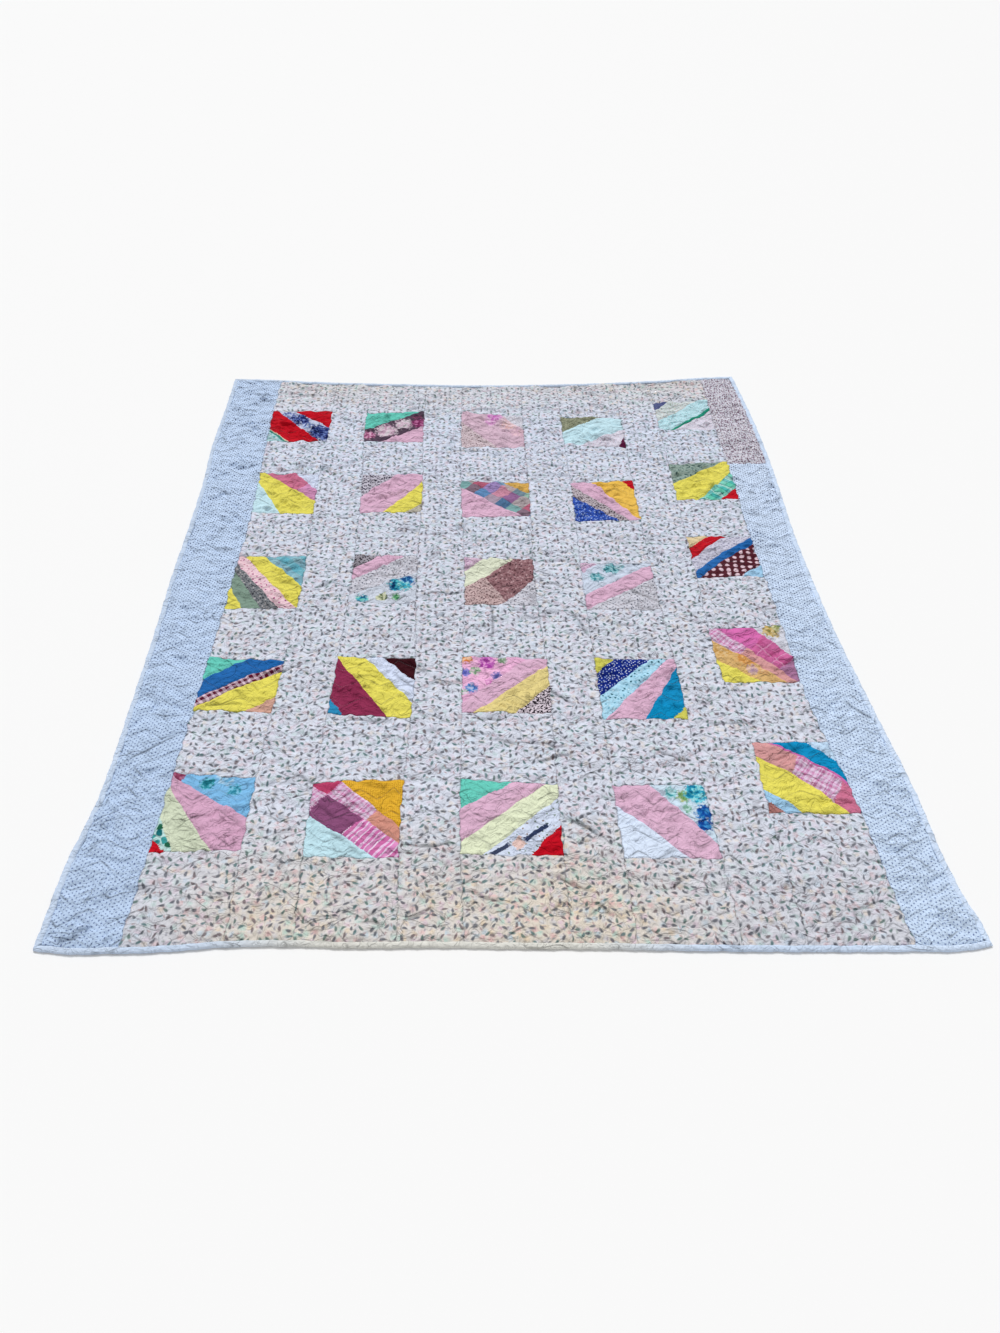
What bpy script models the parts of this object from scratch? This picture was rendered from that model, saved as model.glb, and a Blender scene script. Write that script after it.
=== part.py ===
"""Patchwork quilt, laid out flat on its back.

The quilted centre is five pieced columns with four plain sashing strips between them. A border runs down
each side, and a bias binding is rolled over all four edges. Each strip is one solid of the full quilted
thickness: top cloth, wadding and backing sewn through. Metres, +Z up, +Y towards the far edge.
"""
import math
from collections import namedtuple

import bmesh
import bpy

QUILT = "patchwork_quilt"

# Driving dimensions
BINDING_WIDTH = 0.012       # finished width of the binding on the face
BINDING_EDGE = 0.0030       # height of the binding where it meets the quilt and the floor
BINDING_ROLL = 0.0038       # how far the rolled binding stands above that
LOFT = 0.0060               # quilted thickness, between seams
SEAM_DIP = 0.0016           # how far the top sinks into a seam
SEAM_HALF_WIDTH = 0.008     # from a seam to where the quilt has its full loft
PIECE_GAP = 0.0003          # between neighbouring solids
UNEVENNESS = 0.0009         # slow rise and fall of the washed quilt

COLUMN_WIDTH = 1.0          # in block widths, shared out between the two border seams
SASH_WIDTH = 0.65
COLUMNS = 5
PATCH_SEAM_Y = 0.510        # where the right border changes cloth
PATCH_SHARE = 0.25          # the far length's share of the right border

# How finely each solid is cut
ROWS = 38                   # cells along the quilt
COLUMN_CELLS = 3            # cells across a pieced column, between its seam dips
NARROW_CELLS = 2            # cells across a sash or a border, between its seam dips
ARC_STEPS = 5               # cells over the top of the binding

# Outline down the two sides, and the two border seams: they wander as the washed cloth does
Station = namedtuple("Station", "y left_edge left_seam right_seam right_edge")
STATIONS = [
    Station(-1.030, -0.836, -0.691, 0.707, 0.844),
    Station(-0.980, -0.836, -0.690, 0.704, 0.841),
    Station(-0.935, -0.835, -0.689, 0.702, 0.831),
    Station(-0.850, -0.833, -0.686, 0.698, 0.822),
    Station(-0.700, -0.816, -0.683, 0.691, 0.820),
    Station(-0.450, -0.815, -0.677, 0.664, 0.802),
    Station(-0.200, -0.819, -0.673, 0.662, 0.786),
    Station(0.000, -0.825, -0.672, 0.662, 0.781),
    Station(0.200, -0.826, -0.670, 0.660, 0.782),
    Station(0.400, -0.830, -0.676, 0.667, 0.791),
    Station(0.600, -0.842, -0.685, 0.666, 0.796),
    Station(0.800, -0.842, -0.692, 0.668, 0.793),
    Station(1.030, -0.846, -0.694, 0.675, 0.782),
]

# Outline along the near and far edges: the far edge sags in the middle, one far corner is pulled out
EndStation = namedtuple("EndStation", "x near_edge far_edge")
END_STATIONS = [
    EndStation(-0.846, -1.0100, 0.993),
    EndStation(-0.790, -1.0180, 0.991),
    EndStation(-0.700, -1.0190, 0.986),
    EndStation(-0.633, -1.0180, 0.980),
    EndStation(-0.510, -1.0095, 0.972),
    EndStation(-0.400, -1.0085, 0.968),
    EndStation(-0.300, -1.0130, 0.965),
    EndStation(-0.150, -1.0135, 0.961),
    EndStation(0.000, -1.0175, 0.962),
    EndStation(0.150, -1.0200, 0.967),
    EndStation(0.300, -1.0245, 0.976),
    EndStation(0.500, -1.0285, 0.995),
    EndStation(0.700, -1.0300, 1.022),
    EndStation(0.800, -1.0290, 1.031),
    EndStation(0.849, -1.0200, 1.034),
]

# Soft ridges and troughs where the quilt doesn't lie quite flat: place, run, size and direction
Ripple = namedtuple("Ripple", "x y length width rise turn_deg")
RIPPLES = [
    Ripple(-0.130, -0.080, 0.22, 0.045, 0.0026, 4),
    Ripple(0.560, -0.230, 0.30, 0.050, 0.0018, -28),
    Ripple(0.735, -0.160, 0.20, 0.045, 0.0024, -32),
    Ripple(0.180, -0.560, 0.40, 0.050, 0.0020, -10),
    Ripple(-0.560, -0.540, 0.26, 0.050, 0.0020, 12),
    Ripple(-0.430, -0.900, 0.30, 0.060, -0.0014, -6),
    Ripple(0.430, -0.880, 0.44, 0.050, 0.0020, -6),
    Ripple(-0.760, -0.330, 0.24, 0.050, 0.0018, 30),
    Ripple(-0.750, 0.330, 0.26, 0.045, 0.0020, -24),
    Ripple(0.330, 0.080, 0.32, 0.050, -0.0014, -18),
    Ripple(-0.300, 0.430, 0.34, 0.050, 0.0016, 6),
    Ripple(0.120, 0.720, 0.36, 0.050, 0.0016, 14),
]

Finish = namedtuple("Finish", "colour roughness")
SPRIG_CLOTH = Finish((0.545, 0.545, 0.590), 0.92)
BORDER_CLOTH = Finish((0.470, 0.580, 0.765), 0.90)
PATCH_CLOTH = Finish((0.450, 0.425, 0.480), 0.92)
BINDING_CLOTH = Finish((0.620, 0.700, 0.800), 0.88)


def smooth_at(table, place, column, t):
    """Value of a column at t, on a Catmull-Rom curve through the table's rows."""
    places = [getattr(row, place) for row in table]
    values = [getattr(row, column) for row in table]
    last = len(table) - 1
    i = max(0, min(last - 1, sum(p <= t for p in places) - 1))
    span = places[i + 1] - places[i]
    f = max(0.0, min(1.0, (t - places[i]) / span))
    before, after = max(i - 1, 0), min(i + 2, last)
    slope_in = (values[i + 1] - values[before]) / (places[i + 1] - places[before]) * span
    slope_out = (values[after] - values[i]) / (places[after] - places[i]) * span
    rise = values[i + 1] - values[i]
    return (values[i] + slope_in * f + (3 * rise - 2 * slope_in - slope_out) * f ** 2
            + (slope_in + slope_out - 2 * rise) * f ** 3)


def side_line(column):
    """A line that runs up the quilt, as a function of y."""
    return lambda y: smooth_at(STATIONS, "y", column, y)


def end_line(column):
    """A line that runs across the quilt, as a function of x."""
    return lambda x: smooth_at(END_STATIONS, "x", column, x)


LEFT_EDGE = side_line("left_edge")
LEFT_SEAM = side_line("left_seam")
RIGHT_SEAM = side_line("right_seam")
RIGHT_EDGE = side_line("right_edge")
NEAR_EDGE = end_line("near_edge")
FAR_EDGE = end_line("far_edge")


def shifted(line, distance):
    return lambda t: line(t) + distance


def between_seams(share):
    """The line at a given share of the way from the left border's seam to the right border's."""
    return lambda y: LEFT_SEAM(y) + share * (RIGHT_SEAM(y) - LEFT_SEAM(y))


def ripple_height(x, y):
    """Height that the ridges and troughs add at a point."""
    height = 0.0
    for r in RIPPLES:
        turn = math.radians(r.turn_deg)
        along = (x - r.x) * math.cos(turn) + (y - r.y) * math.sin(turn)
        across = (y - r.y) * math.cos(turn) - (x - r.x) * math.sin(turn)
        height += r.rise * math.exp(-(2 * along / r.length) ** 2 - (2 * across / r.width) ** 2)
    return height


def top_height(x, y, seam_distance):
    """Height of the quilt's face: its loft, less the dip into the nearest seam."""
    slow_wave = math.sin(7.1 * x + 2.3 * y) * math.cos(5.3 * y - 3.7 * x + 0.8)
    dip = SEAM_DIP * max(0.0, 1 - seam_distance / SEAM_HALF_WIDTH)
    return LOFT + UNEVENNESS * slow_wave + ripple_height(x, y) - dip


def point_between(left, right, near, far, across, along):
    """The plan position at given shares across and along the space between four lines."""
    y = near(0) + along * (far(0) - near(0))
    for _ in range(3):
        x = left(y) + across * (right(y) - left(y))
        y = near(x) + along * (far(x) - near(x))
    return left(y) + across * (right(y) - left(y)), y


def new_object(name, mesh_data, finish, offset, parent):
    """Finish a bmesh as a named object with its own material, its origin at the given offset."""
    bmesh.ops.recalc_face_normals(mesh_data, faces=mesh_data.faces)
    bmesh.ops.translate(mesh_data, verts=mesh_data.verts, vec=(-offset, 0, 0))
    mesh = bpy.data.meshes.new(name)
    mesh_data.to_mesh(mesh)
    mesh_data.free()
    obj = bpy.data.objects.new(name, mesh)
    obj.location.x = offset
    obj.parent = parent
    mesh.materials.append(cloth_material(name, finish))
    bpy.data.collections[QUILT].objects.link(obj)
    return obj


def cloth_material(name, finish):
    material = bpy.data.materials.new(name + "_cloth")
    material.use_nodes = True
    shader = material.node_tree.nodes["Principled BSDF"]
    shader.inputs["Base Color"].default_value = (*finish.colour, 1)
    shader.inputs["Roughness"].default_value = finish.roughness
    shader.inputs["Metallic"].default_value = 0
    return material


def quilted_strip(name, left, right, near, far, cells, rows, finish, parent):
    """A strip of quilt between four lines: soft uneven top, flat underside, seams dipped."""
    left, right = shifted(left, PIECE_GAP / 2), shifted(right, -PIECE_GAP / 2)
    near, far = shifted(near, PIECE_GAP / 2), shifted(far, -PIECE_GAP / 2)
    width = right(0) - left(0)
    length = far(left(0)) - near(left(0))
    bm = bmesh.new()
    bmesh.ops.create_grid(bm, x_segments=cells + 2, y_segments=rows + 2, size=1)
    for vert in bm.verts:
        column = round((vert.co.x + 1) / 2 * (cells + 2))
        row = round((vert.co.y + 1) / 2 * (rows + 2))
        across = cut_share(column, cells, SEAM_HALF_WIDTH / width)
        along = cut_share(row, rows, SEAM_HALF_WIDTH / length)
        x, y = point_between(left, right, near, far, across, along)
        seam_distance = min(across * width, (1 - across) * width, along * length, (1 - along) * length)
        vert.co = (x, y, top_height(x, y, seam_distance))
    walls = bmesh.ops.extrude_face_region(bm, geom=bm.faces[:])
    underside = [item for item in walls["geom"] if isinstance(item, bmesh.types.BMFace)]
    for vert in {vert for face in underside for vert in face.verts}:
        vert.co.z = 0
    bmesh.ops.dissolve_faces(bm, faces=underside)
    return new_object(name, bm, finish, (left(0) + right(0)) / 2, parent)


def cut_share(step, cells, dip_share):
    """Share of the way across at a cut: the first and last cells are the narrow seam dips."""
    if step == 0:
        return 0.0
    if step == cells + 2:
        return 1.0
    return dip_share + (step - 1) / cells * (1 - 2 * dip_share)


def binding_profile():
    """Cross-section of the rolled binding: distance in from the edge, and height."""
    radius = BINDING_WIDTH / 2
    roll = [(radius - radius * math.cos(math.pi * step / ARC_STEPS),
             BINDING_EDGE + BINDING_ROLL * math.sin(math.pi * step / ARC_STEPS))
            for step in range(ARC_STEPS + 1)]
    return [(radius / 4, 0.0)] + roll + [(BINDING_WIDTH, 0.0)]


def cuts_along(strips, edge, inward, lengthwise):
    """Places along an edge where the strips that end at its binding have their own vertices."""
    places = []
    for strip in strips:
        for vert in strip.data.vertices:
            x, y = vert.co.x + strip.location.x, vert.co.y
            across, t = (x, y) if lengthwise else (y, x)
            if abs(across - edge(t) - inward * BINDING_WIDTH) < 2 * PIECE_GAP:
                places.append(t)
    places.sort()
    return [t for t, before in zip(places, [-math.inf] + places) if t - before > 2 * PIECE_GAP]


def meeting(side, end):
    """Where a line up the quilt meets a line across it."""
    x = side(0)
    for _ in range(4):
        y = end(x)
        x = side(y)
    return x, y


def mitre(side, end, side_inward, end_inward):
    """The fold line of the binding at a corner, as a function of the depth in from the outline."""
    outer = meeting(side, end)
    inner = meeting(shifted(side, side_inward * BINDING_WIDTH), shifted(end, end_inward * BINDING_WIDTH))
    return lambda depth: [a + (b - a) * depth / BINDING_WIDTH for a, b in zip(outer, inner)]


def binding_strip(name, edge, inward, lengthwise, start, end, strips, parent):
    """A roll along one edge: a grid rolled into a tube, mitred where it meets its neighbours."""
    profile = binding_profile()
    cuts = cuts_along(strips, edge, inward, lengthwise)
    last_cut = len(cuts) - 1
    bm = bmesh.new()
    bmesh.ops.create_grid(bm, x_segments=len(profile), y_segments=last_cut, size=1)
    for vert in bm.verts:
        depth, height = profile[round((vert.co.x + 1) / 2 * len(profile)) % len(profile)]
        cut = round((vert.co.y + 1) / 2 * last_cut)
        across, along = edge(cuts[cut]) + inward * depth, cuts[cut]
        x, y = (across, along) if lengthwise else (along, across)
        if cut in (0, last_cut):
            x, y = start(depth) if cut == 0 else end(depth)
            clearance = PIECE_GAP / 2 if cut == 0 else -PIECE_GAP / 2
            x, y = (x, y + clearance) if lengthwise else (x + clearance, y)
        vert.co = (x, y, height)
    bmesh.ops.remove_doubles(bm, verts=bm.verts, dist=0.00001)
    bmesh.ops.holes_fill(bm, edges=[item for item in bm.edges if item.is_boundary])
    return new_object(name, bm, BINDING_CLOTH, 0, parent)


def main():
    for obj in list(bpy.data.objects):
        bpy.data.objects.remove(obj, do_unlink=True)
    bpy.context.scene.collection.children.link(bpy.data.collections.new(QUILT))
    quilt = bpy.data.objects.new(QUILT, None)
    bpy.data.collections[QUILT].objects.link(quilt)

    inset = BINDING_WIDTH + PIECE_GAP / 2
    near, far = shifted(NEAR_EDGE, inset), shifted(FAR_EDGE, -inset)
    left, right = shifted(LEFT_EDGE, inset), shifted(RIGHT_EDGE, -inset)

    strips = []

    def add_strip(name, west, east, south, north, cells, rows, finish):
        strips.append(quilted_strip(name, west, east, south, north, cells, rows, finish, quilt))

    total = COLUMNS * COLUMN_WIDTH + (COLUMNS - 1) * SASH_WIDTH
    start = 0.0
    for number in range(1, COLUMNS + 1):
        end = start + COLUMN_WIDTH / total
        add_strip(f"column_{number}", between_seams(start), between_seams(end), near, far,
                  COLUMN_CELLS, ROWS, SPRIG_CLOTH)
        start = end + SASH_WIDTH / total
        if number < COLUMNS:
            add_strip(f"sash_{number}", between_seams(end), between_seams(start), near, far,
                      NARROW_CELLS, ROWS, SPRIG_CLOTH)

    def patch_seam(x):
        return PATCH_SEAM_Y

    patch_rows = round(ROWS * PATCH_SHARE)
    add_strip("border_left", left, LEFT_SEAM, near, far, NARROW_CELLS, ROWS, BORDER_CLOTH)
    add_strip("border_right", RIGHT_SEAM, right, near, patch_seam, NARROW_CELLS, ROWS - patch_rows,
              BORDER_CLOTH)
    add_strip("border_right_top", RIGHT_SEAM, right, patch_seam, far, NARROW_CELLS, patch_rows,
              PATCH_CLOTH)

    near_left = mitre(LEFT_EDGE, NEAR_EDGE, 1, 1)
    near_right = mitre(RIGHT_EDGE, NEAR_EDGE, -1, 1)
    far_left = mitre(LEFT_EDGE, FAR_EDGE, 1, -1)
    far_right = mitre(RIGHT_EDGE, FAR_EDGE, -1, -1)
    binding_strip("binding_left", LEFT_EDGE, 1, True, near_left, far_left, strips, quilt)
    binding_strip("binding_right", RIGHT_EDGE, -1, True, near_right, far_right, strips, quilt)
    binding_strip("binding_near", NEAR_EDGE, 1, False, near_left, near_right, strips, quilt)
    binding_strip("binding_far", FAR_EDGE, -1, False, far_left, far_right, strips, quilt)


main()
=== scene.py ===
import math
from functools import partial

import bmesh
import bpy
import numpy as np
from mathutils import Matrix, Vector


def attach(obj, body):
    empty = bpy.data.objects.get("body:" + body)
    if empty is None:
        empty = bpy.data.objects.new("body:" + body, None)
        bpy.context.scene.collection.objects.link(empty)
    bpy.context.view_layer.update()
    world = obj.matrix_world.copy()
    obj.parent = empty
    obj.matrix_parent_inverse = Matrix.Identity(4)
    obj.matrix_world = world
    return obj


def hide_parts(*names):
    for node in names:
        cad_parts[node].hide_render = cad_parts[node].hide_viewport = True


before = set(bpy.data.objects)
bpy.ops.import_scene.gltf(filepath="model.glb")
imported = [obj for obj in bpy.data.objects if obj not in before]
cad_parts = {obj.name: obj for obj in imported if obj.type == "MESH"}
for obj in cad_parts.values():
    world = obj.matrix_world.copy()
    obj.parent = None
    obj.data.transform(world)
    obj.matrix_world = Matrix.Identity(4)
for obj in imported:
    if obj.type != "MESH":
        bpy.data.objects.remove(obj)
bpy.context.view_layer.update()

# ---------------------------------------------------------------------------
# Sashes. Four long strips of one sack cloth, cream with small scattered
# sprigs, that run the whole length between the pieced columns. They are seamed
# to them, then quilted by hand through the wadding and the back in zigzag rows.
# ---------------------------------------------------------------------------

# Down the quilt, near to far: y, then x of left edge, left border seam, right border seam, right edge
SIDES = (
    (-1.030, -0.836, -0.691, 0.707, 0.844),
    (-0.980, -0.836, -0.690, 0.704, 0.841),
    (-0.935, -0.835, -0.689, 0.702, 0.831),
    (-0.850, -0.833, -0.686, 0.698, 0.822),
    (-0.700, -0.816, -0.683, 0.691, 0.820),
    (-0.450, -0.815, -0.677, 0.664, 0.802),
    (-0.200, -0.819, -0.673, 0.662, 0.786),
    (0.000, -0.825, -0.672, 0.662, 0.781),
    (0.200, -0.826, -0.670, 0.660, 0.782),
    (0.400, -0.830, -0.676, 0.667, 0.791),
    (0.600, -0.842, -0.685, 0.666, 0.796),
    (0.800, -0.842, -0.692, 0.668, 0.793),
    (1.030, -0.846, -0.694, 0.675, 0.782),
)
# Along the two ends, left to right: x, then y of near edge, far edge
ENDS = (
    (-0.846, -1.0100, 0.993),
    (-0.790, -1.0180, 0.991),
    (-0.700, -1.0190, 0.986),
    (-0.633, -1.0180, 0.980),
    (-0.510, -1.0095, 0.972),
    (-0.400, -1.0085, 0.968),
    (-0.300, -1.0130, 0.965),
    (-0.150, -1.0135, 0.961),
    (0.000, -1.0175, 0.962),
    (0.150, -1.0200, 0.967),
    (0.300, -1.0245, 0.976),
    (0.500, -1.0285, 0.995),
    (0.700, -1.0300, 1.022),
    (0.800, -1.0290, 1.031),
    (0.849, -1.0200, 1.034),
)
# The eight seams between columns and sashes: y, then their x from left to right
SEAMS = (
    (-1.030, -0.509, -0.390, -0.208, -0.090, 0.099, 0.216, 0.402, 0.518),
    (-0.730, -0.514, -0.397, -0.217, -0.101, 0.095, 0.208, 0.393, 0.511),
    (-0.550, -0.510, -0.392, -0.212, -0.100, 0.095, 0.206, 0.390, 0.513),
    (-0.375, -0.506, -0.386, -0.206, -0.100, 0.095, 0.204, 0.388, 0.489),
    (-0.010, -0.499, -0.378, -0.217, -0.096, 0.078, 0.199, 0.379, 0.489),
    (0.350, -0.509, -0.385, -0.216, -0.108, 0.081, 0.201, 0.377, 0.492),
    (0.710, -0.510, -0.403, -0.226, -0.111, 0.077, 0.195, 0.381, 0.494),
    (1.030, -0.514, -0.400, -0.222, -0.108, 0.079, 0.197, 0.380, 0.495),
)
TUCK = 0.009          # how far the cloth stops short of the quilt's edge, under the binding
CELL = 0.0033         # the mesh's cells on the face of the quilt
FLOOR_GAP = 0.0003    # the back of the quilt over the floor


def smooth(table, column, at):
    """The smooth line through one column of a table, at the stations asked for."""
    stations = np.array([row[0] for row in table])
    values = np.array([row[column] for row in table])
    slopes = np.gradient(values, stations)
    i = np.clip(np.searchsorted(stations, at) - 1, 0, len(stations) - 2)
    width = stations[i + 1] - stations[i]
    t = (at - stations[i]) / width
    return (
        values[i] * (1 + 2 * t) * (1 - t) ** 2
        + slopes[i] * width * t * (1 - t) ** 2
        + values[i + 1] * (3 - 2 * t) * t ** 2
        - slopes[i + 1] * width * t ** 2 * (1 - t)
    )


def wander(at, seed, size=0.0011):
    """How a hand-cut, much washed seam strays from its line."""
    return size * (
        np.sin(at * 134 + 1.7 * seed)
        + 0.7 * np.sin(at * 71 + 2.9 * seed)
        + 0.6 * np.sin(at * 263 + 4.1 * seed)
    )


def down(k, y):
    """x of a line down the quilt: 0 and 11 the edges, 1 and 10 the border seams, 2 to 9 the inner seams."""
    if 2 <= k <= 9:
        return smooth(SEAMS, k - 1, y) + wander(y, k)
    return smooth(SIDES, {0: 1, 1: 2, 10: 3, 11: 4}[k], y) + wander(y, k, 0.0005 if k in (0, 11) else 0.0011)


def across(k, x):
    """y of the near edge (0) and the far edge (1)."""
    return smooth(ENDS, k + 1, x) + wander(x, 20 + k, 0.0004)


rng = np.random.default_rng(31)
ROW_PITCH = 0.0525    # between rows of quilting
ROW_SWING = 0.0135    # how far a zigzag goes to each side of its row
UP_LEG, DOWN_LEG = 0.049, 0.036


def quilting_rows():
    """The hand-sewn zigzags, near to far: for each row the x and the y of its turns."""
    turns = [-0.93]
    while turns[-1] < 0.93:
        leg = DOWN_LEG if len(turns) % 2 else UP_LEG
        turns.append(turns[-1] + leg * (1 + 0.12 * rng.normal()))
    turns = np.array(turns)
    sign = np.where(np.arange(len(turns)) % 2, -1, 1)
    drift, rows = np.zeros(len(turns)), []
    for k in range(41):
        drift += np.convolve(rng.normal(0, 0.006, len(turns) + 8), np.ones(9) / 9, "valid")
        x = turns + 0.8 * drift + rng.normal(0, 0.0035, len(turns))
        y = -1.052 + ROW_PITCH * k + ROW_SWING * sign * (1 + 0.22 * rng.normal(size=len(turns)))
        y += 0.006 * np.sin(3.1 * x + 0.45 * k) + 0.003 * np.sin(9.3 * x + 1.3 * k)
        x = np.sort(x)
        # the legs between the turns aren't ruled straight
        fine = np.unique(np.concatenate([x, x[:-1] + np.diff(x) / 3, x[:-1] + np.diff(x) * 2 / 3]))
        rows.append((fine, np.interp(fine, x, y) + rng.normal(0, 0.0011, len(fine))))
    return rows


ROWS = quilting_rows()
LATTICE = rng.uniform(-1, 1, (256, 256))


def rumple(x, y):
    """Smooth random heights between -1 and 1, one for each unit cell."""
    i, j = np.floor(x).astype(int), np.floor(y).astype(int)
    u, v = x - i, y - j
    u, v = u * u * (3 - 2 * u), v * v * (3 - 2 * v)
    near = LATTICE[i % 256, j % 256] * (1 - u) + LATTICE[(i + 1) % 256, j % 256] * u
    far = LATTICE[i % 256, (j + 1) % 256] * (1 - u) + LATTICE[(i + 1) % 256, (j + 1) % 256] * u
    return near * (1 - v) + far * v


STITCH_LEVEL = 0.0029   # height of the face where the thread holds it down
PUFF = 0.0044           # how far the wadding lifts it between two rows
RISE = 0.0070           # how soon it gets there, either side of the thread
PUCKER = 0.0019         # the small gathers that the thread draws up
LOWEST, SOFT = 0.0010, 0.0016   # where the deepest creases end, and how softly
STORED = -0.026         # x of the crease from storing it folded
STORED_DEPTH, STORED_REACH = 0.0016, 0.0040
PINCH_DEPTH, PINCH_REACH = 0.0030, 0.0034
SMALL_PINCHES = 150     # besides those placed one by one
EDGE_SEAM, NEAR_EDGE_SEAM = 0.0125, 0.0118   # where the binding is sewn down, in from the edge
NO_SEAM = 0.03          # so far from any seam that none is felt
SEWN_LEVEL = 0.0016     # height of the face where a seam holds it down
# Of the face's height, the share that a seam takes off it, and how far to each side
RIM_DIP, RIM_REACH = 0.12, 0.0060          # round a piece
PIECING_DIP, PIECING_REACH = 0.36, 0.0042  # in a square
EDGE_DIP, NEAR_EDGE_DIP, EDGE_REACH = 0.34, 0.66, 0.0040    # along the binding
ALLOWANCE = 0.0072      # how far from its seam the turned edge of a scrap lifts the face
SLANT = 0.84            # a gap straight up the quilt, measured square to a leg of the zigzag
USUAL_CRUMPLE = 0.85    # how much a plain length creases
LEFTWARD = (-9, 0.5)    # a joined strip starts from its left end
# Larger folds in the laid quilt: x, y, length, width, rise, turn in degrees
FOLDS = (
    (-0.130, -0.080, 0.22, 0.045, 0.0026, 4),
    (0.560, -0.230, 0.30, 0.050, 0.0018, -28),
    (0.735, -0.160, 0.20, 0.045, 0.0024, -32),
    (0.180, -0.560, 0.40, 0.050, 0.0020, -10),
    (-0.560, -0.540, 0.26, 0.050, 0.0020, 12),
    (-0.430, -0.900, 0.30, 0.060, -0.0014, -6),
    (0.430, -0.880, 0.44, 0.050, 0.0020, -6),
    (-0.760, -0.330, 0.24, 0.050, 0.0018, 30),
    (-0.750, 0.330, 0.26, 0.045, 0.0020, -24),
    (0.330, 0.080, 0.32, 0.050, -0.0014, -18),
    (-0.300, 0.430, 0.34, 0.050, 0.0016, 6),
    (0.120, 0.720, 0.36, 0.050, 0.0016, 14),
)
# Sharp pinches, as the washing left them: x, y, length, turn in degrees, how tight
PINCHES = [
    (-0.155, -0.070, 0.105, 9, 1.00),
    (-0.031, -0.175, 0.130, -88, 0.75),
    (0.344, -0.072, 0.130, -36, 0.75),
    (0.180, -0.180, 0.130, -62, 0.71),
    (0.113, -0.418, 0.080, -44, 0.96),
    (0.041, -0.551, 0.170, -8, 0.79),
    (0.090, -0.590, 0.080, 20, 0.88),
    (0.335, -0.586, 0.085, -28, 0.96),
    (-0.153, -0.803, 0.095, -2, 0.96),
    (0.140, -0.761, 0.090, -32, 0.88),
    (0.478, -0.496, 0.120, 3, 0.79),
    (-0.064, -0.912, 0.085, -15, 0.83),
    (0.112, -0.888, 0.080, -28, 0.83),
    (-0.500, -0.330, 0.100, 24, 0.79),
    (-0.740, -0.560, 0.120, 38, 0.83),
    (0.790, -0.480, 0.130, -48, 0.83),
]
draw = np.random.default_rng(11)
for _ in range(SMALL_PINCHES):
    lie = draw.choice((-32, -14, -3, 8, 26)) + draw.normal(0, 7)
    where = draw.uniform(-0.8, 0.8), draw.uniform(-1, 1)
    PINCHES.append((*where, draw.uniform(0.03, 0.085), lie, draw.uniform(0.25, 0.75)))


def pinched(x, y):
    """How near a place is to the middle of a sharp pinch: 0 away from it, up to 1 in the tightest."""
    tight = np.zeros(np.shape(x))
    for px, py, length, turn, pull in PINCHES:
        by = (np.abs(x - px) < length) & (np.abs(y - py) < length)
        if not by.any():
            continue
        dx, dy = x[by] - px, y[by] - py
        c, s = math.cos(math.radians(turn)), math.sin(math.radians(turn))
        along = dx * c + dy * s
        off = dy * c - dx * s + 0.006 * rumple(along / 0.026 + 40 * px, np.full(along.shape, 90 * py))
        line = np.exp(-((2 * along / length) ** 4)) * np.exp(-((off / PINCH_REACH) ** 2))
        tight[by] = np.maximum(tight[by], pull * line)
    return tight


# Drag creases, in short runs that lie a few ways: turn in degrees, distance apart, run, depth
CREASES = (
    (-38, 0.024, 0.055, 0.0042), (27, 0.023, 0.058, 0.0034),
    (-5, 0.021, 0.070, 0.0042), (68, 0.028, 0.045, 0.0026),
)


def nearest_row(x, y):
    """Which row of quilting lies nearest, and how far above or below it."""
    lines = np.array([np.interp(x, tx, ty) for tx, ty in ROWS])
    k = np.abs(lines - y).argmin(0)
    return k, y - lines[k, np.arange(len(x))]


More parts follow.
